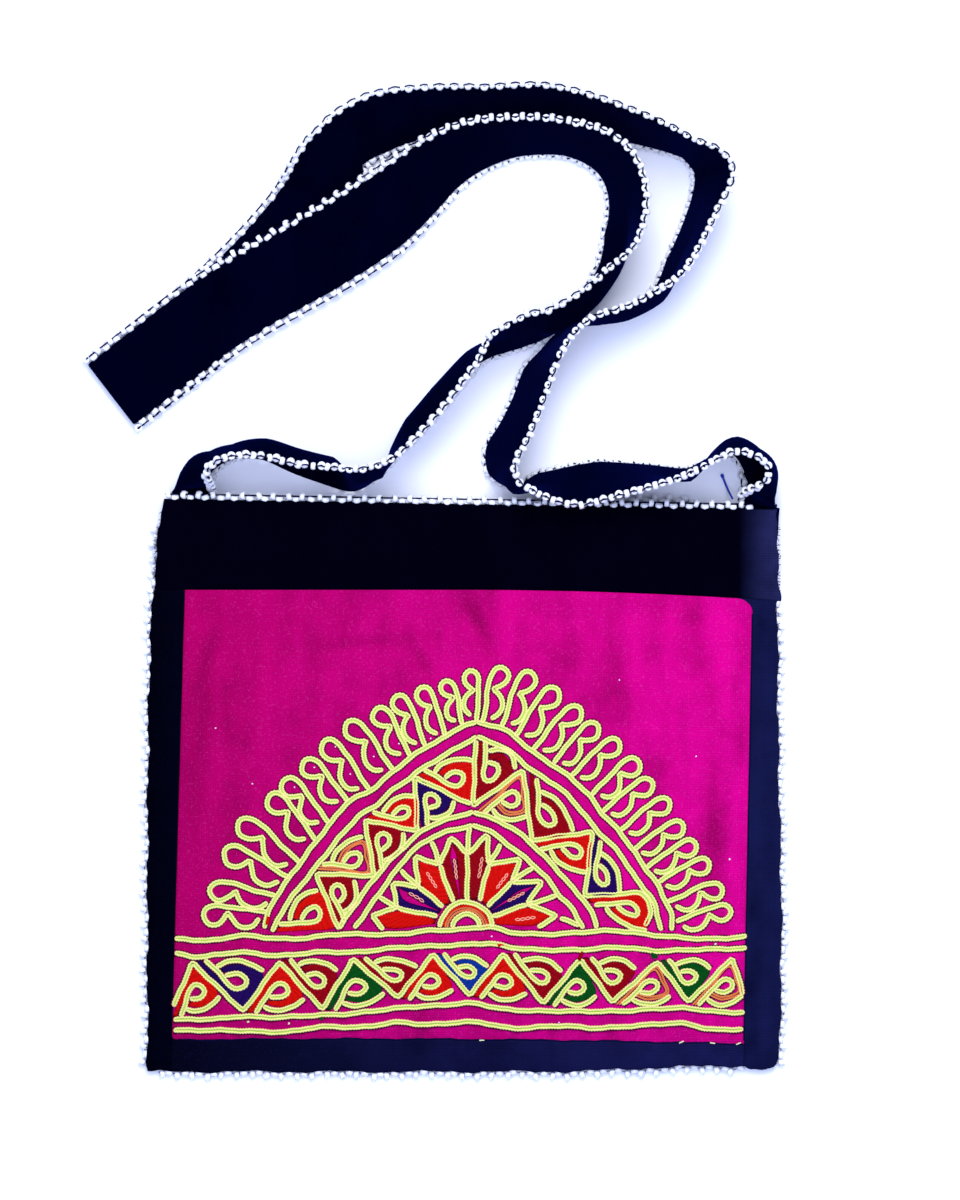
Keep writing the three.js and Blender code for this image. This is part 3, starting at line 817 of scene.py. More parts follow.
def front_height(x, y):
    """Height of the front's underside: flat against the back at the seams, swollen in the middle."""
    side = np.minimum(1, np.abs(np.where(x < 0, x / left_edge(y), x / HALF_WIDTH)))
    foot = np.clip(-y / HALF_HEIGHT, 0, 1)
    peak = SWELL + (SWELL_AT_MOUTH - SWELL) * smoothstep(y, *SWELL_FADE)
    inside = (1 - side**SIDE_SHARPNESS) * (1 - foot**BOTTOM_SHARPNESS)
    pucker = 0
    for row, (row_y, width, height) in enumerate(PUCKER_ROWS):
        drift = PUCKER_DRIFT * np.sin(x / DRIFT_LENGTH + DRIFT_TURN * row)
        wave = np.sin(2 * np.pi * (x / PUCKER_PITCH + drift))
        pucker = pucker + height * wave * np.exp(-(((y - row_y) / width) ** 2))
    corner = CORNER_LIFT * smoothstep(y, *CORNER_FADE)
    hollows = trough_depth(CREASES, x, y) + trough_depth(WRINKLES, x, y)
    return BACK_CLOTH + GAP + corner + inside * (peak - hollows + pucker)


def band_underside(x, y):
    """Underside of the mouth's band: a step up at its turned-in hem, and a bell-shaped groove along the
    seam at its right end."""
    hem_y = front_mouth(x) - HEM_DEPTH
    hem = HEM_HEIGHT * smoothstep(y, hem_y - HEM_STEP, hem_y + HEM_STEP)
    seam_x, seam_width, seam_depth = END_SEAM
    seam = seam_depth * np.exp(-(((x - seam_x) / seam_width) ** 2))
    return front_height(x, y) + hem - seam


def band_right_edge(y):
    """The band's right end follows the pouch's edge, and stands out in a small corner at its foot."""
    return right_edge(y) + FLAP * (1 - smoothstep(y, *FLAP_SPAN))


def panel_surface(places, lift=0.0):
    """Points over the panel's upper face, at x, y places and a height over the cloth."""
    x, y = places[..., 0], places[..., 1]
    return np.stack([x, y, front_height(x, y) + PANEL_CLOTH + lift], axis=-1)


def shares(length, count):
    """Shares from 0 to 1 along a cloth of that length: even steps, with close ones where a rim is round."""
    close = RIM / length * np.array(RIM_SHARES)
    middle = np.linspace(close[-1], 1 - close[-1], count)[1:-1]
    return np.concatenate([close, middle, 1 - close[::-1]])


def rim_roundness(share, length):
    """Share of the full thickness at a share of a cloth's length: a quarter circle at each rim."""
    inward = np.clip(np.minimum(share, 1 - share) * length / RIM, 0, 1)
    return np.sqrt(1 - (1 - inward) ** 2)


def cloth_between(left, right, bottom, top, thickness, grid, underside):
    """A closed sheet of cloth between four edges, with u across and v up, rounded off at its rims. The
    place across and the place up depend on each other, so they are worked out in turn."""
    size, counts = grid
    u, v = (shares(length, count) for length, count in zip(size, counts))
    x = np.zeros(1)
    for _ in range(FITTING_ROUNDS):
        y = bottom(x) + (top(x) - bottom(x)) * v[:, None]
        x = left(y) + (right(y) - left(y)) * u
    y = bottom(x) + (top(x) - bottom(x)) * v[:, None]
    half = thickness / 2 * rim_roundness(u, size[0]) * rim_roundness(v, size[1])[:, None]
    core = underside(x, y) + thickness / 2
    plan = np.stack([x, y], axis=-1)
    upper, lower = (np.dstack([plan, core + sign * half]) for sign in (1, -1))
    return closed_sheet(upper, lower, plan)


# The strap

def strap_across(run, ahead, places):
    """Points and facings across strap sections, at distances from the middle: a flat leg, an arc and a
    second leg, tipped by lean and curled by bend."""
    lean, bend, radius = (run[:, column, None] for column in (LEAN, BEND, CURL_RADIUS))
    lean = np.radians(lean)
    to_left = np.stack([-ahead[:, 1], ahead[:, 0], np.zeros(len(ahead))], axis=1)
    up = np.array([0, 0, 1])
    edgeward = np.cos(lean) * to_left + np.sin(lean) * up
    facing = -np.sin(lean) * to_left + np.cos(lean) * up
    way = np.where(bend < 0, -1, 1)
    half = np.radians(np.abs(bend)) / 2
    arc = radius * half
    chord = radius * np.cos(half) - (STRAP_WIDTH / 2 - arc) * np.sin(half)
    turn = np.sign(places) * np.minimum(np.abs(places) / radius, half)
    leg = np.sign(places) * np.maximum(0, np.abs(places) - arc)
    outward = radius * np.sin(turn) + leg * np.cos(turn)
    bulge = way * (radius * np.cos(turn) - leg * np.sin(turn) - chord)
    points = outward[..., None] * edgeward[:, None] + bulge[..., None] * facing[:, None]
    tipped = (way * np.sin(turn))[..., None] * edgeward[:, None]
    return points, tipped + np.cos(turn)[..., None] * facing[:, None], edgeward


def strap_run(rows, places):
    """All sections of one run, set down so that the lowest point of each is at its lift. The last column
    on each side is the middle of a bead string."""
    rows = np.array([(*row, USUAL_CURL_RADIUS, USUAL_LIFT)[:LIFT + 1] for row in rows], float)
    spots = np.linspace(0, len(rows) - 1, (len(rows) - 1) * STEPS_PER_ROW + 1)
    run = read_at(rows, np.arange(len(rows)), spots)
    plan = curve_through(rows[:, :2], spots)
    ahead = unit(np.gradient(plan, axis=0))
    points, faces, edgeward = strap_across(run, ahead, places)
    cloth = np.abs(faces[..., 2]) * STRAP_CLOTH / 2
    cloth[:, [0, -1]] = STRING_RADIUS
    lowest = (points[..., 2] - cloth).min(axis=1)
    base = np.column_stack([plan, run[:, LIFT] - lowest])
    x, y = plan.T
    inside = np.minimum(smoothstep(x - TUCKED[0], 0, TUCK_FADE), smoothstep(TUCKED[1] - x, 0, TUCK_FADE))
    tuck = TUCK * np.where(y < TUCKED_BELOW, inside, 0)
    points[:, -1, :2] += tuck[:, None] * np.stack([-ahead[:, 1], ahead[:, 0]], axis=1)
    return points + base[:, None], faces, base, edgeward


def strap_fold(base, edgeward, places):
    """The half turn that carries the end of the upper run down into the start of the under run."""
    angle = np.pi * np.arange(1, FOLD_STEPS + 1)[:, None] / (FOLD_STEPS + 1)
    up = np.array([0, 0, 1])
    outward = np.cos(angle) * up + np.sin(angle) * np.cross(up, edgeward)
    middle = base + FOLD_RADIUS * (outward - up)
    points = middle[:, None] + places[:, None] * edgeward
    return points, np.broadcast_to(-outward[:, None], points.shape), middle


STRAP_SHARES = shares(STRAP_WIDTH, STRAP_COLUMNS)
STRAP_PLACES = STRAP_WIDTH / 2 * (1 - 2 * STRAP_SHARES)
STRING_PLACE = STRAP_WIDTH / 2 + STRAP_STRING_OFFSET
ALL_PLACES = np.concatenate([[STRING_PLACE], STRAP_PLACES, [-STRING_PLACE]])

upper_points, upper_faces, upper_base, upper_edgeward = strap_run(UPPER_RUN, ALL_PLACES)
under_points, under_faces, under_base, _ = strap_run(UNDER_RUN, ALL_PLACES)
fold_points, fold_faces, fold_base = strap_fold(upper_base[-1], upper_edgeward[-1], ALL_PLACES)
lower_points = np.concatenate([fold_points, under_points])
lower_faces = np.concatenate([fold_faces, under_faces])
lower_base = np.concatenate([fold_base, under_base])
STRAP_LENGTH = run_lengths(np.concatenate([upper_base, lower_base]))


def strap_cloth():
    """The strap as a closed sheet: each face lies half the cloth away from the middle of its sections."""
    middle = np.concatenate([upper_points, lower_points])[:, 1:-1]
    facing = np.concatenate([upper_faces, lower_faces])[:, 1:-1]
    ends = rim_roundness(STRAP_LENGTH / STRAP_LENGTH[-1], STRAP_LENGTH[-1])[:, None]
    half = STRAP_CLOTH / 2 * rim_roundness(STRAP_SHARES, STRAP_WIDTH) * ends
    across, along = np.meshgrid(STRAP_PLACES, STRAP_LENGTH)
    upper, lower = (middle + sign * half[..., None] * facing for sign in (1, -1))
    return closed_sheet(upper, lower, np.stack([across, along], axis=-1))


# Seed beads

def bead():
    """One seed bead about X: a ring whose section is a squared-off oval between the hole and the rim."""
    around, section = (np.arange(n) * 2 * np.pi / n for n in (BEAD_SIDES, BEAD_RINGS))
    waves = (np.cos(section), np.sin(section))
    out, along = (np.sign(wave) * np.abs(wave) ** BEAD_SQUARENESS for wave in waves)
    radius = (BEAD_RADIUS + BEAD_HOLE) / 2 + (BEAD_RADIUS - BEAD_HOLE) / 2 * out
    x = np.broadcast_to(BEAD_HALF_LENGTH * along, (BEAD_SIDES, BEAD_RINGS))
    points = np.stack([x, np.outer(np.cos(around), radius), np.outer(np.sin(around), radius)], axis=-1)
    index = wrapped(np.arange(BEAD_SIDES * BEAD_RINGS).reshape(BEAD_SIDES, BEAD_RINGS))
    return points.reshape(-1, 3), quads(np.vstack([index, index[:1]]))[:, ::-1]


BEAD_POINTS, BEAD_FACES = bead()


def beads_at(places, axis, aside):
    """A bead at each place, with its hole along axis, each a little tilted and of its own size."""
    loose = rng.normal(0, BEAD_TILT, (len(places), 2))
    third = np.cross(axis, aside)
    hole = unit(axis + loose[:, :1] * aside + loose[:, 1:] * third)
    side = unit(aside - (aside * hole).sum(axis=1, keepdims=True) * hole)
    axes = np.stack([hole, side, np.cross(hole, side)], axis=1)
    size = rng.normal(1, BEAD_GROWTH, (len(places), 1, 1))
    points = places[:, None] + size * np.einsum("vk,mkj->mvj", BEAD_POINTS, axes)
    faces = BEAD_FACES + np.arange(len(places))[:, None, None] * len(BEAD_POINTS)
    shade = np.repeat(rng.random((len(places), 2)), len(BEAD_POINTS), axis=0)
    return Form(points.reshape(-1, 3), [faces.reshape(-1, 4)], shade)


def bead_string(path, outward, thread=THREAD_OVER):
    """The beads and the sewing thread of one string. In each pair one bead is threaded along the edge, and
    the next sits closer to the cloth with its hole facing out, under the thread."""
    lengths = run_lengths(path)
    pairs = round(lengths[-1] / PAIR_PITCH)
    pitch = lengths[-1] / pairs

    def frame_at(spots):
        """Places at distances along the string, and its ways ahead, outwards and across there."""
        ahead = unit(read_at(np.gradient(path, axis=0), lengths, spots))
        out = read_at(outward, lengths, spots)
        out = unit(out - (out * ahead).sum(axis=1, keepdims=True) * ahead)
        return read_at(path, lengths, spots), ahead, out, np.cross(ahead, out)

    along_spots, facing_spots = (
        pitch * (np.arange(pairs) + share) + rng.normal(0, BEAD_SHIFT, pairs)
        for share in (ALONG_SHARE, FACING_SHARE)
    )
    place, ahead, out, _ = frame_at(along_spots)
    along_beads = beads_at(place, ahead, out)
    place, _, out, face = frame_at(facing_spots)
    facing_beads = beads_at(place - FACING_INSET * out, out, face)
    spots = np.linspace(0, lengths[-1], pairs * THREAD_STEPS + 1)
    place, _, out, face = frame_at(spots)
    weave = THREAD_WEAVE * np.sin(2 * np.pi * spots / pitch)[:, None]
    thread_out, thread_radius = thread
    line = place + thread_out * out + weave * face
    thread_rod = rod(line, out, face, thread_radius, thread_radius, THREAD_SIDES)
    return joined([along_beads, facing_beads]), thread_rod


def pouch_string(span, place, outward, thread=THREAD_OVER):
    """A string along one edge of the pouch, with place() giving its points."""
    spots = np.linspace(*span, STRING_STEPS)
    path = np.stack(np.broadcast_arrays(*place(spots)), axis=1)
    return bead_string(path, np.broadcast_to(np.array(outward, float), path.shape), thread)


def strap_string(points, base, column, inner):
    """A string along one edge of the strap, only where the strap is outside the pouch."""
    outside = base[:, 1] > STRINGS_START_Y
    return bead_string(points[outside, column], unit(points[outside, column] - points[outside, inner]))


# Embroidery

def chain_line(places, stitch):
    """Chain stitch along x, y places on the panel: two strands that part and meet once in every link, over
    a flat dark core painted as the shade in the gaps between them, and a wider dark rod painted as the
    shadow along the line."""
    lengths = run_lengths(places)
    links = max(2, round(lengths[-1] / stitch.link))
    spots = np.linspace(0, lengths[-1], links * LINK_STEPS + 1)
    line = read_at(places, lengths, spots)
    ahead = unit(np.gradient(line, axis=0))
    aside = np.stack([-ahead[:, 1], ahead[:, 0]], axis=1)
    line = line + stitch.part * wander(HAND_WAVES, spots, line[0, 0])[:, None] * aside
    parted = np.abs(np.sin(np.pi * spots * links / lengths[-1]))[:, None]
    from_end = np.minimum(spots, lengths[-1] - spots)[:, None]
    closing = np.sqrt(np.minimum(1, from_end / END_ROUND))
    offset = (stitch.meet + (stitch.part - stitch.meet) * parted) * closing
    rise = stitch.lift + PARTED_RISE * stitch.height * parted[:, 0]
    aside_3d = np.column_stack([aside, np.zeros(len(aside))])
    up = np.broadcast_to(np.array([0.0, 0.0, 1.0]), aside_3d.shape)
    strands = [
        rod(panel_surface(line + sign * offset * aside, rise), aside_3d, up,
            stitch.strand, stitch.height, STRAND_SIDES)
        for sign in (1, -1)
    ]
    thin = slice(None, None, LINK_STEPS)
    shadow_width = stitch.part + stitch.strand + SHADOW_MARGIN
    core, shadow_rod = (
        rod(panel_surface(line[thin], lift), aside_3d[thin], up[thin], width, height, STRAND_SIDES)
        for width, height, lift in ((stitch.core, CORE_HEIGHT, 0), (shadow_width, SHADOW_HEIGHT, SHADOW_LIFT))
    )
    return joined(strands), core, shadow_rod


def cut_corners(places, radius):
    """A zigzag with its corners rounded off: at each, a square-law curve from that far before to that far
    after it."""
    places = np.array(places, float)
    corner = places[1:-1]
    before, after = (corner + radius * unit(near - corner) for near in (places[:-2], places[2:]))
    t = np.linspace(0, 1, CORNER_STEPS)[:, None, None]
    bends = (1 - t) ** 2 * before + 2 * t * (1 - t) * corner + t**2 * after
    return np.vstack([places[:1], bends.transpose(1, 0, 2).reshape(-1, 2), places[-1:]])


def filled_rows(outer, inner):
    """Rows of stitches between two rails of x, y places: a low cushion, ribbed along each row."""
    across = np.linspace(0, 1, FILL_ROWS * ROW_STEPS + 1)
    along = np.linspace(0, 1, len(outer))
    places = outer[:, None] + (inner - outer)[:, None] * across[:, None]
    down, right = places[1, 0] - places[0, 0], places[0, 1] - places[0, 0]
    if right[0] * down[1] - right[1] * down[0] < 0:
        places = places[:, ::-1]
    ribs = 1 - ROW_DEPTH + ROW_DEPTH * np.abs(np.sin(np.pi * FILL_ROWS * across))
    slope = np.minimum(1, np.minimum(along, 1 - along) / FILL_SLOPE)[:, None]
    height = FILL_HEIGHT * (1 - (2 * across - 1) ** FILL_POWER) * ribs * slope
    width = np.linalg.norm(places[:, -1] - places[:, 0], axis=1)[:, None]
    length = run_lengths(places[:, len(across) // 2])
    uv = np.stack(np.broadcast_arrays(across * width, length[:, None]), axis=-1)
    return closed_sheet(panel_surface(places, height), panel_surface(places, -FILL_SUNK * height), uv)


def curl_line(foot, apex, corner, line):
    """A line of a curl, from its shares of the way to the apex and to the corner."""
    line = np.array(line)
    return foot + line[:, :1] * (apex - foot) + line[:, 1:] * (corner - foot)


def petal_line(foot_x, foot_y, tip_x, tip_y, side):
    """A looped petal: up its stem to the tip, round a loop to the stem's middle, and round a second to the
    foot."""
    stem = np.array([tip_x - foot_x, tip_y - foot_y])
    aside = side * np.array([-stem[1], stem[0]])
    shape = np.array(PETAL_LINE)
    return smooth_path(np.array([foot_x, foot_y]) + shape[:, :1] * stem + shape[:, 1:] * aside)


def arc_line(radius):
    """A half circle about the flower's middle, from its left foot to its right one."""
    angle = np.radians(np.linspace(*ARC_SPAN, ARC_STEPS))
    return np.array(FLOWER_MIDDLE) + radius * np.stack([np.cos(angle), np.sin(angle)], axis=1)


def leaf_rails(number):
    """The two rails of one leaf, from the flower's rim by the valley on each side to the tip, as smooth
    curves drawn in from its lines."""
    tip = np.array(FLOWER_TIPS[number])
    foot = (np.array(FLOWER_SEAMS[number]) + FLOWER_SEAMS[number + 1]) / 2
    end = tip + LEAF_TIP_INSET * unit(foot - tip)
    rails = []
    for side in (number, number + 1):
        seam, valley = np.array(FLOWER_SEAMS[side]), np.array(FLOWER_VALLEYS[side])
        inward = unit((foot + tip) / 2 - valley)
        shoulder = valley + LEAF_INSET * inward
        flank = (valley + tip) / 2 + LEAF_INSET * inward
        rails.append(smooth_path([foot + LEAF_FOOT * (seam - foot), shoulder, flank, end]))
    return rails, foot, tip


def short_threads(places, ways, radius):
    """Short straight bits of thread, from places along ways, both rows of x, y, z."""
    bits = []
    for place, way in zip(places, ways):
        path = place + np.linspace(0, 1, BIT_STEPS)[:, None] * way
        ahead = np.broadcast_to(unit(way), path.shape)
        aside = unit(np.cross([0.0, 0.0, 1.0], ahead))
        bits.append(rod(path, aside, np.cross(ahead, aside), radius, radius, BIT_SIDES))
    return joined(bits)


def bits_on_panel(rows, length, radius, lift):
    """Bits of thread or lint that lie on the panel, from rows of x, y and direction in degrees."""
    rows = np.array(rows, float)
    turn = np.radians(rows[:, 2])
    ways = length * np.stack([np.cos(turn), np.sin(turn), 0 * turn], axis=1)
    return short_threads(panel_surface(rows[:, :2], lift), ways, radius)


lines = [smooth_path(line) for line in WAVY_LINES]
arches = [smooth_path(line) for line in ARCHES]
petals = [petal_line(*row, 1) for row in LEFT_PETALS] + [petal_line(*row, -1) for row in RIGHT_PETALS]
curls = [cut_corners(line, ZIGZAG_ROUND) for line in ZIGZAGS]
fills = {}
orange_lines = [arc_line(radius) for radius in FLOWER_ORANGE]
for thread, *spots in CURLS:
    foot, apex, corner = np.array(spots).reshape(3, 2)
    curls += [smooth_path(curl_line(foot, apex, corner, line)) for line in (CURL_BOWL, CURL_TAIL)]
    rails = [smooth_path(curl_line(foot, apex, corner, line), FILL_STEPS // (len(line) - 1))
             for line in (CURL_OUTER_RAIL, CURL_INNER_RAIL)]
    if thread == "orange":
        outer, inner = rails
        orange_lines += [outer + inset * unit(inner - outer) for inset in ORANGE_INSETS]
    else:
        fills.setdefault(thread, []).append(filled_rows(*rails))

zigzag = [FLOWER_VALLEYS[0]]
for tip, valley in zip(FLOWER_TIPS, FLOWER_VALLEYS[1:]):
    zigzag += [tip, valley]
flower = [arc_line(FLOWER_RIM), arc_line(FLOWER_EYE)]
flower += [cut_corners(zigzag, FLOWER_ROUND), np.array(LAST_RAY)]
for valley, seam, ray in zip(FLOWER_VALLEYS[1:], FLOWER_SEAMS[1:], FLOWER_RAYS):
    flower += [np.array([valley, seam]), np.array([valley, ray])]
fills["red"].append(filled_rows(arc_line(FLOWER_RED[1]), arc_line(FLOWER_RED[0])))
leaf_stitches = []
for number, (thread, gap) in enumerate(FLOWER_LEAVES):
    (one, other), foot, tip = leaf_rails(number)
    open_share = gap * np.sin(np.pi * np.linspace(0, 1, len(one)))[:, None]
    if gap:
        fills[thread] += [filled_rows(near, near + (far - near) * (1 - open_share) / 2)
                          for near, far in ((one, other), (other, one))]
    else:
        fills[thread].append(filled_rows(one, other))
    if number:
        leaf_stitches.append(foot + np.outer(LEAF_STITCHES, tip - foot))
for thread, *place, length in STRAY_STITCHES:
    fills[thread].append(bits_on_panel([place], length, STRAY_RADIUS, STRAY_RADIUS / 2))


# Loose threads and frayed edges

def frayed_edges():
    """Frayed ends of the weave along the sides of the mouth, each of its own length and direction."""
    places, ways = [], []
    for way, low, high, count in FRAYED_EDGES:
        y = rng.uniform(low, high, count)
        z = BACK_CLOTH + GAP + CORNER_LIFT * smoothstep(y, *CORNER_FADE) + BORDER_CLOTH / 2
        edge = np.where(way < 0, left_edge(y), HALF_WIDTH)
        places.append(np.stack([edge - FRAY_ROOT * way, y, z], axis=1))
        reach = FRAY_ROOT + FRAY_LENGTH * rng.random(count)
        along, up = (rng.normal(0, spread, count) for spread in FRAY_SPREAD)
        ways.append(np.stack([way * reach, along, up], axis=1))
    return short_threads(np.vstack(places), np.vstack(ways), FRAY_RADIUS)


def loose_thread():
    """A stray thread from the floor up over the mouth's right corner, with a knot in its lower end."""
    path = smooth_path(LOOSE_THREAD)
    ahead = unit(np.gradient(path, axis=0))
    aside = unit(np.cross(ahead, [0.0, 0.0, 1.0]))
    up = np.cross(aside, ahead)
    knot = slice(KNOT_POINTS)
    return joined([
        rod(path, aside, up, LOOSE_RADIUS, LOOSE_RADIUS, THREAD_SIDES),
        rod(path[knot], aside[knot], up[knot], KNOT_RADIUS, KNOT_RADIUS, THREAD_SIDES),
    ])


# Materials

def linear(hex_colour):
    """An sRGB hex colour as linear red, green, blue and full alpha."""
    parts = [int(hex_colour[k:k + 2], 16) / 255 for k in (1, 3, 5)]
    return [p / 12.92 if p <= 0.04045 else ((p + 0.055) / 1.055) ** 2.4 for p in parts] + [1.0]


def wave_scale(pitch):
    """Scale of a wave texture for a pitch in millimetres of the metre-sized object: its bands repeat every
    twentieth of a full turn."""
    return 2 * math.pi / (20 * pitch * MM)


def fill_inputs(tree, node, inputs):
    """Fills a node's inputs with values, or links them to the outputs of other nodes."""
    for key, value in inputs.items():
        if isinstance(value, bpy.types.NodeSocket):
            tree.links.new(value, node.inputs[key])
        else:
            node.inputs[key].default_value = value


def add_node(tree, kind, output, inputs=(), **settings):
    """Adds a node, sets its settings, fills its inputs, and gives the named output."""
    node = tree.nodes.new(kind)
    for name, value in settings.items():
        setattr(node, name, value)
    fill_inputs(tree, node, dict(inputs))
    return node.outputs[output]


def place_in(tree, space):
    """The place on the piece, in object space or on its own sheet."""
    return add_node(tree, "ShaderNodeTexCoord", space)


def one_axis(tree, vector, axis):
    """One number of a place."""
    return add_node(tree, "ShaderNodeSeparateXYZ", axis, {"Vector": vector})


def worked_out(tree, operation, *values):
    """Values added or multiplied."""
    return add_node(tree, "ShaderNodeMath", "Value", dict(enumerate(values)), operation=operation)


def ranged(tree, value, low, high, bottom=0, top=1):
    """A value between low and high, turned into one between bottom and top."""
    return add_node(tree, "ShaderNodeMapRange", "Result", {
        "Value": value, "From Min": low, "From Max": high, "To Min": bottom, "To Max": top})


def noise(tree, place, size, detail=2.0, roughness=0.5):
    """Soft noise with lumps of that size in millimetres."""
    return add_node(tree, "ShaderNodeTexNoise", "Fac", {
        "Vector": place, "Scale": 1 / (size * MM), "Detail": detail, "Roughness": roughness})


def mixed(tree, share, one, other):
    """Two colours mixed by a share; each is a hex colour or the output of a node."""
    one, other = (linear(colour) if isinstance(colour, str) else colour for colour in (one, other))
    return add_node(tree, "ShaderNodeMix", "Result", {
        "Factor": share, "A": one, "B": other}, data_type="RGBA")


def relief(tree, height, strength, depth):
    """The facing of a surface with a low relief, of that depth in millimetres."""
    return add_node(tree, "ShaderNodeBump", "Normal", {
        "Height": height, "Strength": strength, "Distance": depth * MM})


def new_material(name):
    """An empty node material with its shader."""
    material = bpy.data.materials.new(name)
    material.use_nodes = True
    tree = material.node_tree
    return material, tree, tree.nodes["Principled BSDF"]


def woven_cotton(name, left, right, slub_and_shade_colour, pale, painted_light_from, sheen=0.0, wrinkles=()):
    """Plain-woven dyed cotton: matt, with a faint grid of threads, cloudy dye with painted shade along
    upright creases, and a pale worn nap. The colour runs from the left one, where the painted light starts,
    to the right one at the right edge: painted light falling from the right, darker to the left. The nap on
    a bulging fold catches a blue sheen. Pressed-in wrinkles carry painted shade, darker the deeper they
    are."""
    material, tree, shader = new_material(name)
    place = place_in(tree, "Object")
    # Painted light: the cloth is darker to the left and lighter to the right, as if lit from the right
    painted_light_share = ranged(tree, one_axis(tree, place, "X"), painted_light_from * MM, HALF_WIDTH * MM)
    dye_and_painted_light = mixed(tree, painted_light_share, left, right)
    upright = add_node(tree, "ShaderNodeMapping", "Vector", {
        "Vector": place, "Scale": (1, CREASE_STRETCH, 1)})
    cloud = noise(tree, place, CLOUD_SIZE, detail=4.0, roughness=0.65)
    # Painted shade along upright creases, mixed into the cloudy dye
    crease_shade = noise(tree, upright, CREASE_WIDTH)
    weft, warp = (add_node(tree, "ShaderNodeTexWave", "Fac", {
        "Vector": place, "Scale": wave_scale(WEAVE_DRAWN), "Distortion": 1.6, "Detail": 2.0,
        "Detail Scale": 0.6}, bands_direction=way) for way in ("X", "Y"))
    weave = worked_out(tree, "ADD", weft, warp)
    mottle_and_painted_shade = worked_out(tree, "MULTIPLY", cloud, crease_shade)
    mottle_and_painted_shade = worked_out(tree, "MULTIPLY_ADD", weave, WEAVE_DULLING, mottle_and_painted_shade)
    # Painted shade in each pressed-in wrinkle, darker the deeper it is
    for x, y, direction, length, width, depth in wrinkles:
        along = add_node(tree, "ShaderNodeMapping", "Vector", {
            "Vector": place, "Location": (x * MM, y * MM, 0), "Rotation": (0, 0, math.radians(direction)),
            "Scale": (2 * length * MM, 2 * width * MM, 1)}, vector_type="TEXTURE")
        painted_wrinkle_shade = add_node(tree, "ShaderNodeTexGradient", "Fac", {
            "Vector": along}, gradient_type="QUADRATIC_SPHERE")
        mottle_and_painted_shade = worked_out(tree, "MULTIPLY_ADD", painted_wrinkle_shade, WRINKLE_PAINTED_SHADE * depth, mottle_and_painted_shade)
    cloth = mixed(tree, ranged(tree, mottle_and_painted_shade, *MOTTLE_AND_SHADE_RANGE), dye_and_painted_light, slub_and_shade_colour)
    worn = ranged(tree, noise(tree, place, NAP_SIZE, detail=1.0), *NAP_RANGE)
    fill_inputs(tree, shader, {
        "Base Color": mixed(tree, worn, cloth, pale),
        "Normal": relief(tree, weave, strength=0.4, depth=WEAVE_RELIEF),
        "Roughness": 0.95, "Specular IOR Level": 0.0,
        "Sheen Weight": sheen, "Sheen Roughness": 0.35, "Sheen Tint": linear("#2C3BC8")})
    return material


def embroidery_thread(name, light, dark, pitch=EMBROIDERY_PLY):
    """Mercerised cotton thread worked in chain stitch: a painted shine along each strand, and painted shade
    where a strand dips under the next."""
    material, tree, shader = new_material(name)
    ply = add_node(tree, "ShaderNodeTexWave", "Fac", {
        "Vector": place_in(tree, "UV"), "Scale": wave_scale(pitch) * MM, "Distortion": 2.0, "Detail": 2.0},
        bands_direction="DIAGONAL")
    fibre = noise(tree, place_in(tree, "Object"), FIBRE_SIZE)
    fill_inputs(tree, shader, {
        # Painted shine and painted shade along the ply of the thread
        "Base Color": mixed(tree, worked_out(tree, "MULTIPLY", ply, fibre), light, dark),
        "Normal": relief(tree, ply, strength=0.6, depth=PLY_RELIEF),
        "Roughness": 0.7, "Specular IOR Level": 0.02})
    return material


def bead_glass():
    """Opaque white pressed-glass seed beads: bright and glossy, each of a slightly different white, and lit
    through on their shaded sides."""
    material, tree, shader = new_material("opaque_white_glass_seed_beads")
    place = place_in(tree, "UV")
    white, gloss = (one_axis(tree, place, axis) for axis in ("X", "Y"))
    fill_inputs(tree, shader, {
        "Base Color": mixed(tree, white, "#FFFFFF", "#E9EAF0"),
        "Roughness": ranged(tree, gloss, 0, 1, *BEAD_ROUGHNESS), "IOR": 1.52, "Specular IOR Level": 0.5,
        "Subsurface Weight": 0.7, "Subsurface Radius": (1, 1, 1), "Subsurface Scale": GLASS_DEPTH * MM})
    return material


def floor_paper():
    """Matt white backdrop paper, with the faintest cloud in it."""
    material, tree, shader = new_material("matt_white_backdrop_paper")
    cloud = noise(tree, place_in(tree, "Object"), PAPER_CLOUD)
    fill_inputs(tree, shader, {
        "Base Color": mixed(tree, cloud, "#FBFBFD", "#F4F5FA"), "Roughness": 1.0,
        "Specular IOR Level": 0.0})
    return material


magenta_cotton, side_navy, bottom_navy, deep_navy, strap_navy = (woven_cotton(*row) for row in CLOTHS)
# Painted shadow along the stitch lines: a dark magenta
stitch_shadow_paint = embroidery_thread("painted_shadow_along_stitches", "#5E0A30", "#3C061C")
bead_white = bead_glass()
thread_navy = embroidery_thread("navy_cotton_sewing_thread", "#06072A", "#020316", SEWING_PLY)
blue_thread = embroidery_thread("blue_cotton_thread", "#2A3CB4", "#16246E", SEWING_PLY)
lime_thread = embroidery_thread("lime_mercerised_embroidery_cotton", "#DAD27A", "#C0BE60")
# Painted shade in the gaps of the lime chain links: a dark green core
lime_gap_shade = embroidery_thread("green_painted_shade_in_lime_links", "#9CC83A", "#2C5A0A")
pale_thread = embroidery_thread("pale_yellow_cotton_thread", "#D8D4A0", "#C4BC80")
pink_thread = embroidery_thread("pale_pink_embroidery_cotton", "#F0A080", "#D88068")
orange_thread = embroidery_thread("orange_mercerised_embroidery_cotton", "#DC7C40", "#B85A20")
# Painted shade between the orange strands: a dark orange core
orange_gap_shade = embroidery_thread("dark_orange_painted_shade_in_links", "#983C10", "#782808")
lint_white = embroidery_thread("white_cotton_lint", "#F0F0F0", "#D8CCD4")


# Pieces of cloth

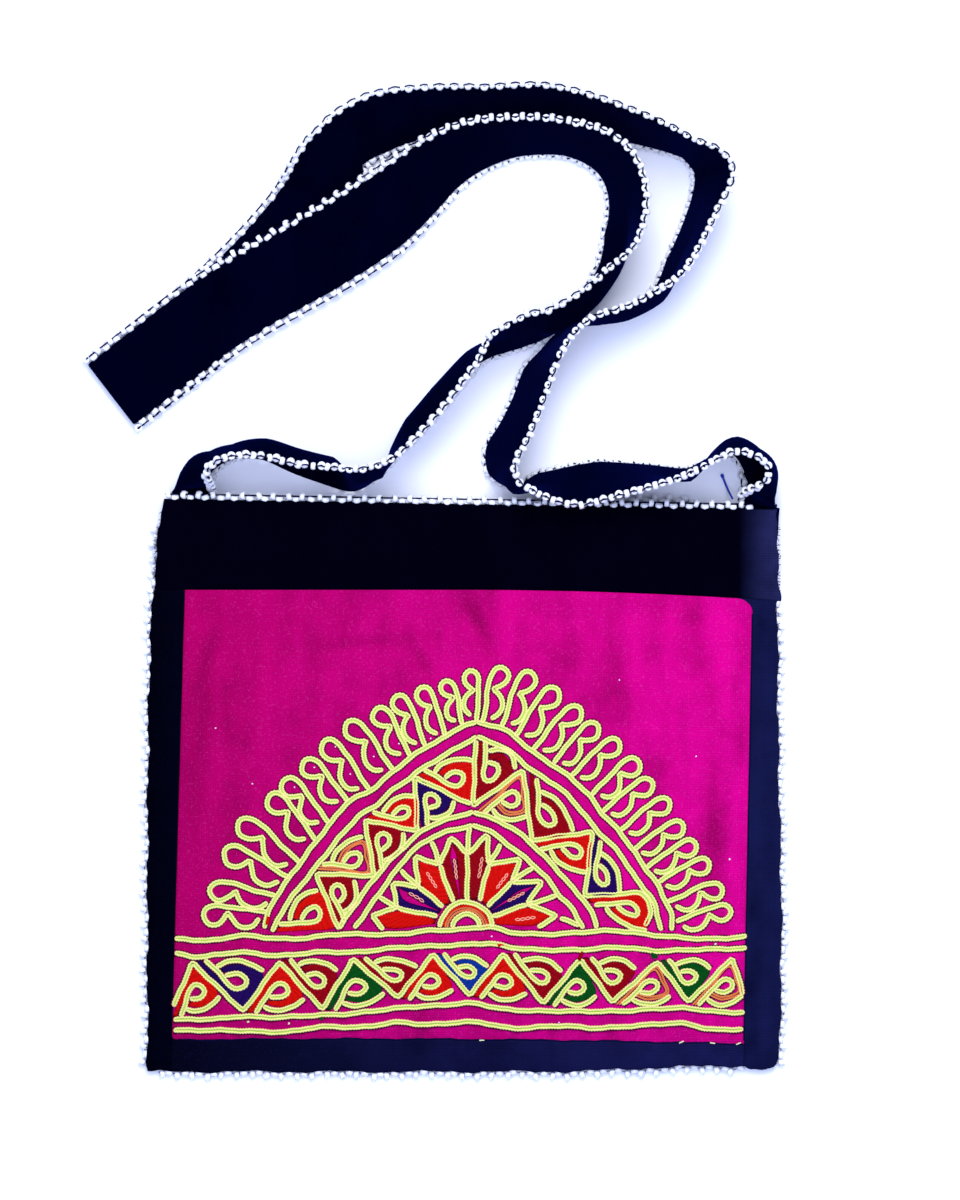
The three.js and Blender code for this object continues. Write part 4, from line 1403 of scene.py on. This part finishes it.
def back_underside(x, y):
    """Underside of the back: flat on the floor, and rising a little to the middle of the mouth edge, with
    the fourth power of the distance from it."""
    middle = np.maximum(0, 1 - (x / BACK_LIFT_HALF) ** BACK_LIFT_POWER)
    return BACK_LIFT * middle * smoothstep(y, *BACK_LIFT_SPAN)


def right_fold(y):
    """Folded inner edge of the right strip, with the round corner at its top."""
    corner = fillet(panel_top_edge(PANEL_RIGHT[1]) - y, UPPER_CORNER)
    return panel_side(y, PANEL_RIGHT) - OVER_PANEL - corner


def bottom_fold(x):
    """Folded upper edge of the bottom strip, with the round corner at its left end."""
    return panel_bottom_edge(x) + OVER_PANEL + fillet(x - PANEL_LEFT[0], LOWER_CORNER)


def moved(distance, edge, *which):
    """An edge moved to the right or up by a distance."""
    return lambda place: edge(place, *which) + distance


def seam_shadow_threads():
    """Dark sewing thread in the panel's bottom and right seams, half sunk between the cloths, as painted
    shadow along them.
    """
    x = np.linspace(PANEL_LEFT[0] + LOWER_CORNER, PANEL_RIGHT[0], BOTTOM_SEAM_STEPS)
    y = np.linspace(PANEL_BOTTOM, PANEL_TOP - PANEL_TOP_DROP - UPPER_CORNER, RIGHT_SEAM_STEPS)
    bottom_seam = np.stack([x, panel_bottom_edge(x) + SEAM_INSET], axis=1)
    right_seam = np.stack([panel_side(y, PANEL_RIGHT) - SEAM_INSET, y], axis=1)
    up = np.array([[0.0, 0.0, 1.0]])
    return joined([
        rod(panel_surface(seam), np.array([aside]), up, SEAM_RADIUS, SEAM_RADIUS, THREAD_SIDES)
        for seam, aside in ((bottom_seam, (0.0, -1.0, 0.0)), (right_seam, (1.0, 0.0, 0.0)))
    ])


inner_left = moved(GAP / 2, panel_side, PANEL_LEFT)
inner_right = moved(-GAP / 2, panel_side, PANEL_RIGHT)
inner_bottom = moved(GAP / 2, panel_bottom_edge)
inner_top = moved(-GAP / 2, panel_top_edge)
left_fold = moved(OVER_PANEL, panel_side, PANEL_LEFT)
band_fold = moved(-OVER_PANEL, panel_top_edge)
back_form = cloth_between(
    left_edge, right_edge, bottom_edge, back_mouth, BACK_CLOTH, BACK_GRID, back_underside)
panel_form = cloth_between(
    inner_left, inner_right, inner_bottom, inner_top, PANEL_CLOTH, PANEL_GRID, front_height)
band_form = cloth_between(
    left_edge, band_right_edge, band_fold, front_mouth, BORDER_CLOTH, BAND_GRID, band_underside)
left_form = cloth_between(
    left_edge, left_fold, bottom_edge, inner_top, BORDER_CLOTH, SIDE_GRID, front_height)
right_form = cloth_between(
    right_fold, right_edge, bottom_edge, inner_top, BORDER_CLOTH, SIDE_GRID, front_height)
bottom_form = cloth_between(
    inner_left, inner_right, bottom_edge, bottom_fold, BORDER_CLOTH, BOTTOM_GRID, front_height)
back = make_piece("back_cloth", back_form, deep_navy, "navy_cotton", "back_panel")
panel = make_piece("front_panel_cloth", panel_form, magenta_cotton, "magenta_cotton", "front_panel")
band = make_piece("top_band_cloth", band_form, deep_navy, "navy_cotton", "top_band")
left_strip = make_piece("left_border_cloth", left_form, side_navy, "navy_cotton", "left_border")
right_strip = make_piece("right_border_cloth", right_form, side_navy, "navy_cotton", "right_border")
bottom_strip = make_piece("bottom_border_cloth", bottom_form, bottom_navy, "navy_cotton", "bottom_border")
strap = make_piece("strap_cloth", strap_cloth(), strap_navy, "navy_cotton", "strap")
# The dark seam thread is also painted shadow along the panel's bottom and right seams
make_piece("panel_seam_shadow_thread", seam_shadow_threads(), thread_navy, "navy_cotton")

# Strings of beads, with their sewing thread

strings = {
    "mouth_beads_front": pouch_string(MOUTH_FRONT_SPAN, lambda x: (
        x, front_mouth(x) + STRING_OFFSET, front_height(x, front_mouth(x)) + BORDER_CLOTH / 2), (0, 1, 0)),
    "mouth_beads_back": pouch_string(MOUTH_BACK_SPAN, lambda x: (
        x, back_mouth(x) + STRING_OFFSET, back_underside(x, back_mouth(x)) + STRING_RADIUS), (0, 1, 0),
        THREAD_DRAWN_IN),
    "left_side_beads": pouch_string(LEFT_SPAN, lambda y: (
        left_edge(y) - STRING_OFFSET, y, STRING_RADIUS), (-1, 0, 0), THREAD_DRAWN_IN),
    "right_side_beads": pouch_string(RIGHT_SPAN, lambda y: (
        right_edge(y) + STRING_OFFSET, y, STRING_RADIUS), (1, 0, 0), THREAD_DRAWN_IN),
    "bottom_beads": pouch_string(BOTTOM_SPAN, lambda x: (
        x, bottom_edge(x) - STRING_OFFSET, STRING_RADIUS), (0, -1, 0), THREAD_DRAWN_IN),
    "strap_beads_a_upper": strap_string(upper_points, upper_base, 0, 1),
    "strap_beads_a_under": strap_string(lower_points, lower_base, 0, 1),
    "strap_beads_b_upper": strap_string(upper_points, upper_base, -1, -2),
    "strap_beads_b_under": strap_string(lower_points, lower_base, -1, -2),
}
for node, (bead_form, thread_form) in strings.items():
    make_piece(node + "_glass", bead_form, bead_white, "white_beads", node)
    make_piece(node + "_thread", thread_form, thread_navy, "navy_cotton")

# Embroidery on the panel

# Groups of lines: name, paths, stitch, thread of the strands, thread of the core, which for the lime and
# orange lines is painted shade between the strands
LINE_GROUPS = [
    ("wavy_lines", lines, FULL_STITCH, lime_thread, lime_gap_shade),
    ("arches", arches, FULL_STITCH, lime_thread, lime_gap_shade),
    ("petals", petals, FULL_STITCH, lime_thread, lime_gap_shade),
    ("curl_lines", curls, FULL_STITCH, lime_thread, lime_gap_shade),
    ("flower_lines", flower, FULL_STITCH, lime_thread, lime_gap_shade),
    ("orange_lines", orange_lines, FINE_STITCH, orange_thread, orange_gap_shade),
    ("leaf_stitches", leaf_stitches, OPEN_STITCH, pink_thread, orange_thread),
]
stitch_shadows = []
for group, paths, stitch, strand_thread, core_thread in LINE_GROUPS:
    strands, cores, group_shadows = zip(*(chain_line(path, stitch) for path in paths))
    make_piece("embroidered_" + group, joined(strands), strand_thread, "magenta_cotton")
    make_piece("embroidered_" + group + "_core", joined(cores), core_thread, "magenta_cotton")
    stitch_shadows += group_shadows
# The dark rods under all the lines are painted shadow along the stitches
make_piece("painted_stitch_shadows", joined(stitch_shadows), stitch_shadow_paint, "magenta_cotton")
for thread, forms in fills.items():
    colour = embroidery_thread(thread + "_mercerised_embroidery_cotton", *FILL_THREADS[thread], FILL_PLY)
    make_piece("embroidered_fill_" + thread, joined(forms), colour, "magenta_cotton")

# Loose threads and lint on the cloth

make_piece("white_lint", bits_on_panel(LINT, *LINT_SIZE), lint_white, "white_beads")
make_piece("pale_specks", bits_on_panel(PALE_SPECKS, *SPECK_SIZE), pale_thread, "white_beads")
make_piece("seam_thread_ends", bits_on_panel(THREAD_ENDS, *THREAD_END_SIZE), pale_thread, "white_beads")
make_piece("frayed_ends", frayed_edges(), thread_navy, "navy_cotton")
make_piece("loose_blue_thread", loose_thread(), blue_thread, "navy_cotton")

# Floor, light and camera

floor_mesh = bpy.data.meshes.new("floor")
reach = FLOOR_SIZE / 2 * MM
drop = -FLOOR_DROP * MM
floor_mesh.from_pydata(
    [(-reach, -reach, drop), (reach, -reach, drop), (reach, reach, drop), (-reach, reach, drop)],
    [], [(0, 1, 2, 3)])
floor_mesh.materials.append(floor_paper())
floor = bpy.data.objects.new("floor", floor_mesh)
bpy.context.scene.collection.objects.link(floor)

world = bpy.data.worlds.new("soft_cool_room")
world.use_nodes = True
world.node_tree.nodes["Background"].inputs["Color"].default_value = linear("#A9B8FF")
world.node_tree.nodes["Background"].inputs["Strength"].default_value = 0.55
bpy.context.scene.world = world

for name, spot, side, watts, tint in LAMPS:
    lamp = bpy.data.lights.new(name, "AREA")
    lamp.size = side
    lamp.energy = watts
    lamp.color = linear(tint)[:3]
    lamp_object = bpy.data.objects.new(name, lamp)
    lamp_object.location = spot
    aim = Vector(VIEW_MIDDLE) * MM - Vector(spot)
    lamp_object.rotation_euler = aim.to_track_quat("-Z", "Y").to_euler()
    bpy.context.scene.collection.objects.link(lamp_object)

camera = bpy.data.cameras.new("camera")
camera.lens = LENS
camera.sensor_width = SENSOR
camera.clip_end = 100
camera_object = bpy.data.objects.new("camera", camera)
distance = VIEW_HEIGHT / SENSOR * LENS
camera_object.location = np.add(VIEW_MIDDLE, (0, 0, distance)) * MM
bpy.context.scene.collection.objects.link(camera_object)
bpy.context.scene.camera = camera_object
bpy.context.scene.view_settings.view_transform = "Standard"
